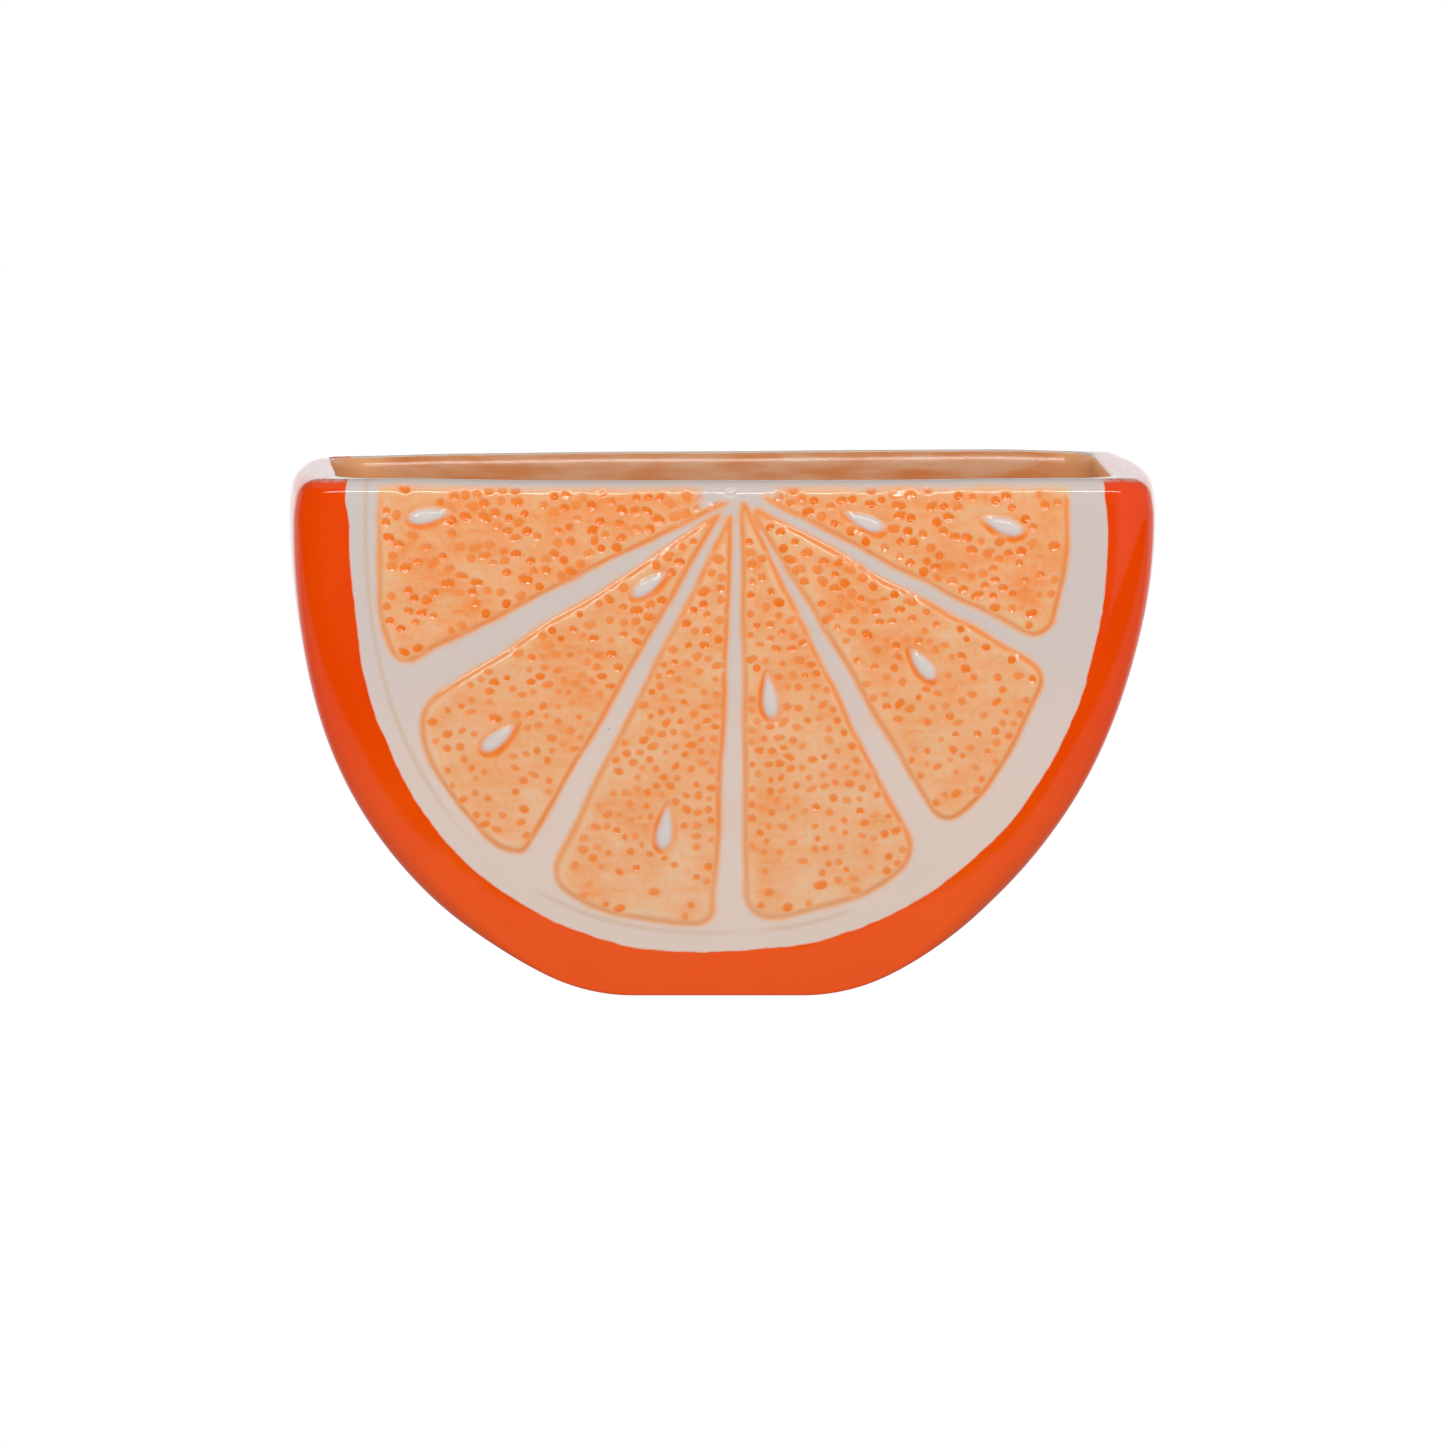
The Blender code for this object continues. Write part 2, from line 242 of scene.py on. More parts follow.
def endProfile(halfDepth, deep, wide, crown, z=99.0):
    # one end seen from above, front to back: y and how far out from the end of the straight front
    roll, side = mesh["rollSteps"], mesh["sideSteps"]
    a = np.linspace(0.0, math.pi / 2.0, roll + 1)
    tight = np.concatenate([[0.0], np.linspace(0.0, math.pi / 2.0, roll)])
    small = pot["footEdge"] + (deep - pot["footEdge"]) * float(ease(*pot["edgeDeepensZ"], z))
    sharp = float(ease(*pot["edgeWidensZ"], z))
    y = (1.0 - sharp) * deep * (1.0 - np.cos(a)) + sharp * small * (1.0 - np.cos(tight)) - halfDepth
    out = (1.0 - sharp) * wide * np.sin(a) + sharp * (wide - small * (1.0 - np.sin(tight)))
    out[0] = 0.0
    middle = np.linspace(-1.0, 1.0, side + 1)[1:-1] * (halfDepth - deep)
    y = np.concatenate([y, middle, -y[::-1]])
    out = np.concatenate([out, np.full(side - 1, wide), out[::-1]])
    return y, out + crown * (1.0 - (y / halfDepth) ** 2)


def rollLevels():
    # the steps of the rim's outer roll above the shoulder: height, inset, place along the face, half width
    a = np.linspace(0.0, math.pi / 2.0, mesh["rimSteps"] + 1)[1:]
    r = pot["rimRoll"]
    s = shoulderZ + r * a
    rise = s - shoulderZ
    straight, squared = pot["rollNarrows"]
    half = halfWidth(shoulderZ) - pot["edgeWide"] - straight * rise - squared * rise ** 2
    return shoulderZ + r * np.sin(a), r * (1.0 - np.cos(a)), s, half


def sideBand(stations):
    # columns across the side: rim levels at the left, round the body, rim levels at the right
    columns = []
    for x, z, nx, nz in zip(*stations):
        y, out = endProfile(pot["halfDepth"], pot["edgeRound"], pot["edgeWide"], sideCrown(z, x < 0.0), z)
        out = out - pot["edgeWide"]
        columns.append(np.stack([x + nx * out, y, z + nz * out], axis=1))
    levelZ, inset, _, levelHalf = rollLevels()
    for side in (-1, 1):
        rising = []
        for z, inward, straight in zip(levelZ, inset, levelHalf):
            y, out = endProfile(pot["halfDepth"] - inward, pot["edgeRound"] - inward,
                                pot["edgeWide"] - inward, sideCrown(z, side < 0))
            x = lean(z) + side * (straight + out)
            rising.append(np.stack([x, y, np.full_like(y, z)], axis=1))
        columns = rising[::-1] + columns if side < 0 else columns + rising
    return np.array(columns)


def gridFaces(rows, columns, closed=False):
    faces = []
    for i in range(rows - 1):
        for j in range(columns if closed else columns - 1):
            k = (j + 1) % columns
            faces.append((i * columns + j, i * columns + k, (i + 1) * columns + k, (i + 1) * columns + j))
    return faces


def planRing(rowX, z, straight, halfDepth, deep, wide, crowns=(0.0, 0.0)):
    # level ring with as many points as the rim: left end, back, right end, front
    y, leftOut = endProfile(halfDepth, deep, wide, crowns[0])
    _, rightOut = endProfile(halfDepth, deep, wide, crowns[1])
    even = mesh["evenRowX"]
    knee = min(even, mesh["evenRowShare"] * straight)
    x = np.sign(rowX) * np.interp(np.abs(rowX), [0.0, even, np.abs(rowX).max()], [0.0, knee, straight])
    row = x[1:-1]
    left = np.stack([-straight - leftOut, y], axis=1)
    back = np.stack([row, np.full_like(row, halfDepth)], axis=1)
    right = np.stack([straight + rightOut, y], axis=1)[::-1]
    front = np.stack([row, np.full_like(row, -halfDepth)], axis=1)[::-1]
    ring = np.concatenate([left, back, right, front])
    return np.stack([ring[:, 0] + lean(z), ring[:, 1], np.full(len(ring), z)], axis=1)


def skewed(ring):
    x, y, z = ring.T
    return np.stack([x - pot["leftSkew"] * ease(*pot["leftSkewY"], y) * leftEnd(x, z), y, z], axis=1)


def rimAndCavity(rowX):
    # rings over the rim, down the walls and into the floor's rounding; also how far inside each ring is
    z, roll, halfY = pot["height"], pot["rimRoll"], pot["halfDepth"]
    rings = [planRing(rowX, z, rollLevels()[3][-1], halfY - roll, pot["edgeRound"] - roll,
                      pot["edgeWide"] - roll, (sideCrown(z, True), sideCrown(z, False)))]
    inside = [0.0]
    deep = pot["chamferDeep"]
    for left, down in pot["chamfer"]:
        outward = pot["chamferWide"] * left
        corner = pot["cavityRound"] + outward
        straight = float(halfWidth(z - deep * down)) - pot["endWall"] + outward - corner
        ring = planRing(rowX, z - deep * down, straight, halfY - pot["faceWall"] + outward, corner, corner)
        rings.append(skewed(ring))
        inside.append(float(ease(*pot["orangeFrom"], down)))
    innerX, innerZ = pot["ellipseHalfX"] - pot["endWall"], pot["ellipseHalfZ"] - pot["endWall"]
    floorAngle = math.acos((pot["ellipseZ"] - pot["floor"]) / innerZ)
    for t in np.linspace(0.0, 1.0, mesh["cavitySteps"] + 1):
        a = math.pi / 2.0 + (floorAngle - math.pi / 2.0) * t
        z = pot["ellipseZ"] - innerZ * math.cos(a)
        left = 1.0 - min((z - pot["floor"]) / pot["floorRound"], 1.0)
        tuck = pot["floorRound"] * (1.0 - math.sqrt(1.0 - left * left))
        corner = pot["cavityRound"]
        rings.append(skewed(planRing(rowX, z, innerX * math.sin(a) - corner, halfY - pot["faceWall"] - tuck,
                                     corner, corner)))
        inside.append(1.0)
    return rings, inside


# the two faces: segments, seeds and pits in relief
relief = {
    # corners of each segment: across, up, radius; the upper two run on over the rim
    "segments": {
        "upperLeft": [(-61.7, 108.0, 0.3), (-61.7, 68.7, 19.4), (-58.3, 59.7, 3.4), (-19.1, 80.1, 61.0),
                      (3.9, 91.3, 0.3), (3.9, 108.0, 0.3)],
        "left": [(0.3, 88.9, 0.4), (-18.2, 76.6, 97.5), (-54.6, 53.7, 6.5), (-54.6, 42.9, 19.4),
                 (-41.2, 26.8, 10.1), (-35.8, 26.0, 2.0)],
        "lowerLeft": [(1.9, 89.1, 0.4), (-31.7, 21.8, 4.8), (-24.5, 15.5, 26.4), (-11.3, 13.2, 30.4),
                      (-1.3, 12.6, 3.3)],
        "lowerRight": [(3.2, 92.8, 0.4), (3.9, 13.9, 4.3), (13.0, 14.9, 24.0), (25.0, 17.6, 23.0),
                       (35.8, 25.3, 5.8), (18.0, 60.4, 51.5)],
        "right": [(4.2, 90.4, 0.8), (39.7, 30.1, 3.9), (47.1, 36.8, 13.4), (52.0, 44.4, 13.0),
                  (58.8, 59.7, 3.7)],
        "upperRight": [(6.2, 108.0, 0.3), (6.2, 91.3, 0.3), (34.7, 76.3, 60.0), (58.6, 63.8, 4.1),
                       (62.1, 75.9, 57.4), (62.1, 108.0, 0.3)],
    },
    # tip and round end of each seed
    "seeds": [
        ((-48.6, 88.3), (-56.2, 86.9)), ((-10.3, 77.2), (-16.4, 73.1)),
        ((-37.6, 49.7), (-43.4, 45.1)), ((-9.7, 34.9), (-10.8, 27.1)),
        ((8.0, 59.0), (8.9, 51.0)), ((33.5, 63.1), (37.9, 57.7)),
        ((21.9, 88.3), (29.1, 85.0)), ((46.5, 87.1), (53.9, 84.6)),
    ],
    "seedHalfWidth": 1.42,
    "seedPowers": (0.66, 2.4),  # how sharp its tip and how full its end is
    "seedRise": 0.52,
    "socketHalfWidth": 2.15,  # the hollow that a seed lies in, longer at its tip and its end
    "socketMore": (1.3, 0.65),
    "socketSink": (0.14, -0.28),  # how far it is out of line with the seed
    "seedMoat": 0.24,  # a moat round the seed, with a low bank outside it
    "moatFrom": (0.35, -0.25),
    "moatTo": (-0.35, 0.1),
    "bank": 0.1,
    "bankPlace": (0.55, 0.35),
    "segmentRise": 0.52,  # places below are in millimetres inside the segment's outline
    "shoulder": (-0.45, 1.6),  # from the white ground up to the rounded shoulder
    "hollow": 0.17,  # the pulp lies a little under its shoulder
    "hollowFrom": (1.5, 2.9),
    "groove": 0.045,
    "grooveWidth": 0.5,
    "lumps": 0.07,
    "lumpSize": 9.0,
    "lumpsFrom": (0.6, 2.5),
    "pithDip": 0.2,  # the white ground dips towards each segment
    "pithDipFrom": (-4.2, 0.2),
    "pithDipTo": (1.2, 0.0),
    "rindStep": 0.16,  # and lies this much under the rind
    "rindStepAt": 0.2,
    "rindStepSoft": (0.9, 2.4),  # its width, and how much wider it is low down on the left
    "softPlace": (-26.0, 8.0),
    "softZ": (30.0, 20.0),
    "fade": (0.2, -7.0),  # all of it fades out up to the rim's roll
    "calm": 1.4,  # and at the very edge of the face
    "handWobble": 0.22,
    "wobbleSize": 16.0,
    "wobbleEnds": (1.0, 0.86),
    "wobbleFoot": (7.0, 14.0),
    "wobbleRim": (0.0, -4.0),
    "loops": (-0.8, -0.35, 0.1, 0.5, 0.9, 1.35, 1.9, 2.6),
    "seedLoops": (0.0, 0.3, 0.7, 1.2),
    "faceSeeds": (3, 8),  # of what is random on the front and the back
    "shadeSeed": 17,
    "pitSpacing": 1.9,
    "pitDensity": 3.2,  # tried places per square millimetre, at the middle
    "pitSparse": 0.6,  # share of the density out at the sides
    "pitSparseX": (18.0, 42.0),
    "pitInset": 1.6,  # pits keep this far inside the groove
    "pitTop": 1.6,  # go this far up the rim's roll
    "pitSeedGap": 0.35,  # and stay clear of the seeds
    "pitLoss": 0.55,  # share of them missing at the bottom of the slice
    "pitLossZ": (33.0, 20.0),
    "pitRadius": (0.6, 0.86),
    "pitLarger": 0.17,  # more of it near the rim
    "pitLargerZ": (58.0, 84.0),
    "pitStretch": 0.7,  # the longest pits are this much longer than wide
    "pitTilt": (0.05, 0.35),
    "pitDepth": 0.36,
    "pitShallow": 0.5,  # the palest pits are this much shallower
    "pitLowShare": 0.62,  # share of the depth at the bottom
    "pitSoftZ": (44.0, 82.0),
    "pitBowl": (0.45, 1.18),  # from its floor out to its edge, in radii
    "lipPlace": (1.3, 0.5),  # the bright lip over a pit: how far out, and how wide
}


def roundedOutline(corners, inset=0.0):
    # closed outline of corners (x, z, radius), counter-clockwise, moved in by inset
    count = len(corners)
    edges = []
    for i in range(count):
        ax, az, _ = corners[i]
        bx, bz, _ = corners[(i + 1) % count]
        length = math.hypot(bx - ax, bz - az)
        dx, dz = (bx - ax) / length, (bz - az) / length
        edges.append((ax - dz * inset, az + dx * inset, dx, dz))
    points = []
    for i in range(count):
        px, pz, pdx, pdz = edges[i - 1]
        qx, qz, qdx, qdz = edges[i]
        turn = pdx * qdz - pdz * qdx
        along = ((qx - px) * qdz - (qz - pz) * qdx) / turn
        side = math.copysign(1.0, turn)
        radius = max(corners[i][2] - side * inset, 0.1)
        angle = math.atan2(turn, pdx * qdx + pdz * qdz)
        back = along - radius * abs(math.tan(angle / 2.0))
        mx = px + pdx * back - pdz * radius * side
        mz = pz + pdz * back + pdx * radius * side
        start = math.atan2(-pdx * side, pdz * side)
        steps = max(1, math.ceil(abs(angle) / mesh["arcStep"]))
        for k in range(steps + 1):
            a = start + angle * k / steps
            points.append((mx + radius * math.cos(a), mz + radius * math.sin(a)))
    return np.array(points)


def evenly(points, step):
    # closed outline with even steps
    closed = np.concatenate([points, points[:1]])
    along = lengthsAlong(closed)
    count = max(8, round(along[-1] / step))
    places = np.linspace(0.0, along[-1], count, endpoint=False)
    return np.stack([np.interp(places, along, closed[:, 0]), np.interp(places, along, closed[:, 1])], axis=1)


def dropOutline(tipX, tipZ, endX, endZ, halfWide, tipMore=0.0, endMore=0.0, grow=0.0):
    # closed outline of a seed, pointed at one end and round at the other, counter-clockwise
    length = math.hypot(endX - tipX, endZ - tipZ)
    ux, uz = (endX - tipX) / length, (endZ - tipZ) / length
    t = 0.5 - 0.5 * np.cos(np.linspace(0.0, math.pi, mesh["dropSteps"]))
    tipPower, endPower = relief["seedPowers"]
    wide = t ** tipPower * np.sqrt(np.maximum(1.0 - t ** endPower, 0.0))
    along = -tipMore + (length + tipMore + endMore) * t
    across = halfWide * wide / wide.max()
    line = np.concatenate([np.stack([along, -across], axis=1), np.stack([along, across], axis=1)[-2:0:-1]])
    if grow:
        ahead, behind = np.roll(line, -1, axis=0), np.roll(line, 1, axis=0)
        way = (ahead - behind) / np.maximum(np.hypot(*(ahead - behind).T), 1e-6)[:, None]
        line = line + grow * np.stack([way[:, 1], -way[:, 0]], axis=1)
    u, v = line.T
    return np.stack([tipX + ux * u - uz * v, tipZ + uz * u + ux * v], axis=1)


segmentOutlines = [roundedOutline(corners) for corners in relief["segments"].values()]
seedOutlines = [dropOutline(*tip, *end, relief["seedHalfWidth"]) for tip, end in relief["seeds"]]
socketSize = (relief["socketHalfWidth"], *relief["socketMore"])
socketOutlines = [dropOutline(*tip, *end, *socketSize) + relief["socketSink"] for tip, end in relief["seeds"]]


def insideOf(outlines, points):
    # distance inside the nearest of the outlines (negative outside), and how far its edge faces right
    px, pz = points[:, 0:1], points[:, 1:2]
    best, sign, facing = np.full(len(points), 1e9), np.full(len(points), -1.0), np.zeros(len(points))
    rows = np.arange(len(points))
    for outline in outlines:
        a, b = outline, np.roll(outline, -1, axis=0)
        ex, ez = (b - a).T
        length = np.hypot(ex, ez)
        keep = length > 1e-6
        a, b, ex, ez, length = a[keep], b[keep], ex[keep], ez[keep], length[keep]
        t = np.clip(((px - a[:, 0]) * ex + (pz - a[:, 1]) * ez) / length ** 2, 0.0, 1.0)
        away = np.hypot(px - a[:, 0] - t * ex, pz - a[:, 1] - t * ez)
        nearest = away.argmin(axis=1)
        away = away[rows, nearest]
        spans = (a[:, 1] > pz) != (b[:, 1] > pz)
        crossing = spans & (px < a[:, 0] + (pz - a[:, 1]) * ex / np.where(ez == 0.0, 1.0, ez))
        closer = away < best
        best = np.where(closer, away, best)
        facing = np.where(closer, (ez / length)[nearest], facing)
        sign = np.where(crossing.sum(axis=1) % 2 == 1, 1.0, sign)
    return best * sign, facing


def segmentField(points):
    return insideOf(segmentOutlines, points)


def seedField(points):
    return -insideOf(seedOutlines, points)[0]


def socketField(points):
    return -insideOf(socketOutlines, points)[0]


def seedSide(points):
    # how far above the axis of the nearest seed, or to the right of an upright one
    best, side = np.full(len(points), 1e9), np.zeros(len(points))
    for (tipX, tipZ), (endX, endZ) in relief["seeds"]:
        length = math.hypot(endX - tipX, endZ - tipZ)
        ux, uz = (endX - tipX) / length, (endZ - tipZ) / length
        ox, oz = points[:, 0] - (tipX + endX) / 2.0, points[:, 1] - (tipZ + endZ) / 2.0
        away = np.hypot(ox, oz)
        across = oz * ux - ox * uz
        lying = abs(ux) > 0.5 * abs(uz)
        across = across * math.copysign(1.0, ux if lying else -uz)
        side = np.where(away < best, across, side)
        best = np.minimum(away, best)
    return side


rindEdge = {"halfX": 68.1, "halfZ": 76.95, "power": 2.2, "middleX": 0.99, "drift": 2.96}


def pastRind(x, z):
    # distance past the rind's inner edge, an oval with squarer corners that drifts to the left low down
    down = (pot["ellipseZ"] - z) / rindEdge["halfZ"]
    across = (x - rindEdge["middleX"] + rindEdge["drift"] * down ** 2) / rindEdge["halfX"]
    power = rindEdge["power"]
    total = np.abs(across) ** power + np.abs(down) ** power
    return (total ** (1.0 / power) - 1.0) * (rindEdge["halfX"] + rindEdge["halfZ"]) / 2.0


def faceRelief(points, seed):
    # height of the modelled surface over the white ground, before the pits are pressed in
    x, s = points.T
    d, _ = segmentField(points)
    outSeed, socket = seedField(points), socketField(points)
    height = relief["segmentRise"] * ease(*relief["shoulder"], d)
    height -= relief["hollow"] * ease(*relief["hollowFrom"], d)
    height += relief["lumps"] * waves(x, s, 0.0, relief["lumpSize"], seed) * ease(*relief["lumpsFrom"], d)
    height -= relief["groove"] * hump(0.0, relief["grooveWidth"], d)
    height -= relief["pithDip"] * ease(*relief["pithDipFrom"], d) ** 2 * ease(*relief["pithDipTo"], d)
    soft, softer = relief["rindStepSoft"]
    soft = soft + softer * hump(*relief["softPlace"], x) * ease(*relief["softZ"], s)
    height -= relief["rindStep"] * ease(relief["rindStepAt"], -soft, pastRind(x, s))
    height *= ease(*relief["fade"], s - shoulderZ)
    dome = np.clip(-outSeed / relief["seedHalfWidth"], 0.0, 1.0)
    height += relief["seedRise"] * np.sqrt(1.0 - (1.0 - dome) ** 2)
    height -= relief["seedMoat"] * ease(*relief["moatFrom"], socket) * ease(*relief["moatTo"], outSeed)
    return height + relief["bank"] * hump(*relief["bankPlace"], socket)


# how the orange glaze lies: amounts from 0 to 1, places in millimetres inside the segment's outline
glazing = {
    "edge": (-0.85, 0.3),  # from the bare white ground to the glaze
    "edgeWobble": 0.12,
    "poolingAndShade": (0.72, 0.62, 0.22),  # everywhere, more to the right of a segment, and in patches; the share to the right is partly glaze pooling and partly painted shade on the side away from the light, leaving left sides paler
    "hub": (2.0, 91.0),  # the middle of the slice, where the drawing is stronger
    "hubReach": (34.0, 6.0),
    "bareX": ((-5.5, -2.5), (11.5, 8.0)),  # the upper segments stay bare between these
    "bareInside": (0.8, 1.5),
    "hubX": ((-1.5, 0.5), (8.0, 6.5)),  # and the top of the hub between these
    "hubZ": (89.7, 90.6),
    "line": (0.4, 0.78),  # the orange line in the groove: place and width
    "lineTone": (0.48, 0.2),  # everywhere, and more where it pools and where shade is painted
    "lineHub": 0.6,
    "linePaler": 0.35,  # share lost at the bottom of the slice
    "linePalerZ": (32.0, 17.0),
    "inner": (2.5, 0.45),  # a thinner line inside it
    "innerTone": (0.3, 0.2),
    "shoulder": (1.45, 0.6),  # the pale band where the glaze runs off the shoulder, paler still as painted light on left-facing edges
    "shoulderTone": (0.72, 0.66),
    "shoulderHub": 0.85,
    "seedRing": (0.5, 0.0),  # glaze pooled round a seed, most of it under the seed
    "seedRingTone": (0.4, 0.36, 0.12),
    "seedUnder": (0.9, -1.0),
    "seedBare": (0.12, -0.22),
    "overRim": (-0.3, 1.4),  # past the shoulder the lines stop and the glaze thins by half
    "rimThin": 0.5,
    "rimEnd": (1.3, 3.2),  # and it ends on the rim's roll
    "rimEndWobble": 0.3,
    # size and seed of the unevenness in each
    "waves": {"poolingAndShade": (22.0, 5), "edge": (5.0, 12), "shoulder": (12.0, 15), "ring": (4.0, 13),
              "rim": (7.0, 3)},
    "shoulderWaves": (0.25, 0.75),
}


def faceGlaze(points):
    # how covered, pooled and thin the glaze is, and where the seeds are bare
    x, s = points.T
    d, facing = segmentField(points)
    socket = socketField(points)
    uneven = {name: waves(x, s, 0.0, *wave) for name, wave in glazing["waves"].items()}
    # painted shade: edges facing right, away from the light, take deeper orange lines and less pale
    # shoulders; glaze pooling and patches add to it
    everywhere, right, patches = glazing["poolingAndShade"]
    pooledAndShaded = np.clip(everywhere + right * facing + patches * uneven["poolingAndShade"], 0.0, 1.0)
    hub = ease(*glazing["hubReach"], np.hypot(x - glazing["hub"][0], s - glazing["hub"][1]))
    covered = ease(*glazing["edge"], d + glazing["edgeWobble"] * uneven["edge"])
    upper, _ = insideOf([segmentOutlines[0], segmentOutlines[-1]], points)
    bare, hubBare = ease(*glazing["bareInside"], upper), ease(*glazing["hubZ"], s)
    for side, hubSide in zip(glazing["bareX"], glazing["hubX"]):
        bare, hubBare = bare * ease(*side, x), hubBare * ease(*hubSide, x)
    tone, more = glazing["lineTone"]
    line = hump(*glazing["line"], d) * (tone + more * np.maximum(pooledAndShaded, glazing["lineHub"] * hub))
    line *= 1.0 - glazing["linePaler"] * ease(*glazing["linePalerZ"], s)
    tone, less = glazing["innerTone"]
    inner = hump(*glazing["inner"], d) * (tone - less * pooledAndShaded)
    tone, less = glazing["shoulderTone"]
    change, start = glazing["shoulderWaves"]
    patchy = (tone - less * pooledAndShaded) * (start + change * uneven["shoulder"])
    shoulder = hump(*glazing["shoulder"], d) * np.maximum(patchy, glazing["shoulderHub"] * hub)
    tone, under, change = glazing["seedRingTone"]
    ring = tone + under * ease(*glazing["seedUnder"], seedSide(points)) + change * uneven["ring"]
    ring = ring * ease(*glazing["seedRing"], socket)
    up = s - shoulderZ
    overRim = ease(*glazing["overRim"], up)
    top = ease(*glazing["rimEnd"], up + glazing["rimEndWobble"] * uneven["rim"])
    return {
        "covered": covered * (1.0 - top) * (1.0 - np.maximum(bare, hubBare)),
        "line": np.maximum(np.maximum(line, inner) * (1.0 - overRim), ring),
        "thin": np.maximum(shoulder, glazing["rimThin"] * overRim),
        "seed": ease(*glazing["seedBare"], seedField(points)),
    }


def newTree(name, inputs):
    tree = bpy.data.node_groups.new(name, "GeometryNodeTree")
    tree.is_modifier = True
    tree.interface.new_socket(name="Geometry", in_out="INPUT", socket_type="NodeSocketGeometry")
    for label, kind in inputs:
        tree.interface.new_socket(name=label, in_out="INPUT", socket_type="NodeSocket" + kind)
    tree.interface.new_socket(name="Geometry", in_out="OUTPUT", socket_type="NodeSocketGeometry")
    return tree, tree.nodes.new("NodeGroupInput"), tree.nodes.new("NodeGroupOutput")


def setInputs(node, inputs):
    # links or sets a node's inputs, by name or by place
    for key, value in inputs.items():
        if isinstance(value, bpy.types.NodeSocket):
            node.id_data.links.new(value, node.inputs[key])
        else:
            node.inputs[key].default_value = value


def addNode(tree, kind, inputs=(), **settings):
    node = tree.nodes.new(kind)
    for key, value in settings.items():
        setattr(node, key, value)
    setInputs(node, dict(inputs))
    return node


def calc(operation, *values, clamp=False):
    # a sum, in the tree that its first wired value belongs to
    tree = next(value.id_data for value in values if isinstance(value, bpy.types.NodeSocket))
    node = addNode(tree, "ShaderNodeMath", dict(enumerate(values)), operation=operation, use_clamp=clamp)
    return node.outputs[0]


def plus(first, *others):
    for other in others:
        first = calc("ADD", first, other)
    return first


def minus(first, second):
    return calc("SUBTRACT", first, second)


def times(first, *others):
    for other in others:
        first = calc("MULTIPLY", first, other)
    return first


def scaled(value, factor, more=0.0):
    return calc("MULTIPLY_ADD", value, factor, more)


def greatest(first, *others):
    for other in others:
        first = calc("MAXIMUM", first, other)
    return first


def arrows(operation, *vectors):
    # the same for vectors, the first of them wired
    node = addNode(vectors[0].id_data, "ShaderNodeVectorMath", dict(enumerate(vectors)), operation=operation)
    return node.outputs["Value" if operation in ("DOT_PRODUCT", "LENGTH") else "Vector"]


def lengthened(vector, factor):
    node = addNode(vector.id_data, "ShaderNodeVectorMath", {0: vector, "Scale": factor}, operation="SCALE")
    return node.outputs["Vector"]


def apart(vector):
    return addNode(vector.id_data, "ShaderNodeSeparateXYZ", {"Vector": vector}).outputs


def ramped(value, low, high, first=0.0, last=1.0, kind="SMOOTHSTEP"):
    node = addNode(value.id_data, "ShaderNodeMapRange",
                   {"Value": value, "From Min": low, "From Max": high, "To Min": first, "To Max": last},
                   interpolation_type=kind)
    return node.outputs["Result"]


def enabled(sockets, name):
    return [socket for socket in sockets if socket.name == name and socket.enabled]


def stored(made, name, value, kind="FLOAT"):
    node = addNode(made.id_data, "GeometryNodeStoreNamedAttribute", {"Geometry": made, "Name": name},
                   data_type=kind, domain="POINT")
    made.id_data.links.new(value, enabled(node.inputs, "Value")[0])
    return node.outputs["Geometry"]


def closeTree(tree, outputNode, made, material):
    realized = addNode(tree, "GeometryNodeRealizeInstances", {"Geometry": made})
    painted = addNode(tree, "GeometryNodeSetMaterial",
                      {"Geometry": realized.outputs["Geometry"], "Material": material})
    tree.links.new(painted.outputs["Geometry"], outputNode.inputs["Geometry"])


def evaluated(item, tree, values):
    # adds the tree as a modifier, sets its inputs and returns the result as a plain mesh
    modifier = item.modifiers.new(tree.name, "NODES")
    modifier.node_group = tree
    for socket in tree.interface.items_tree:
        if socket.in_out == "INPUT" and socket.name in values:
            modifier[socket.identifier] = values[socket.name]
    graph = bpy.context.evaluated_depsgraph_get()
    result = bpy.data.meshes.new_from_object(item.evaluated_get(graph), preserve_all_data_layers=True,
                                             depsgraph=graph)
    item.modifiers.remove(modifier)
    return result


def linked(name, data):
    item = bpy.data.objects.new(name, data)
    bpy.context.scene.collection.objects.link(item)
    return item


def newObject(name, vertices, faces):
    data = bpy.data.meshes.new(name)
    data.from_pydata([tuple(v) for v in vertices], [], [tuple(int(i) for i in f) for f in faces])
    return linked(name, data)


def readPlaces(data):
    co = np.zeros(len(data.vertices) * 3, np.float32)
    data.vertices.foreach_get("co", co)
    return co.reshape(-1, 3).astype(float)


def readAttribute(data, name, width=1):
    values = np.zeros(len(data.vertices) * width, np.float32)
    data.attributes[name].data.foreach_get("vector" if width == 3 else "value", values)
    return values.reshape(-1, width) if width > 1 else values


def writeAttribute(data, name, values):
    vector = values.ndim == 2
    attribute = data.attributes.new(name, "FLOAT_VECTOR" if vector else "FLOAT", "POINT")
    attribute.data.foreach_set("vector" if vector else "value", values.astype(np.float32).ravel())


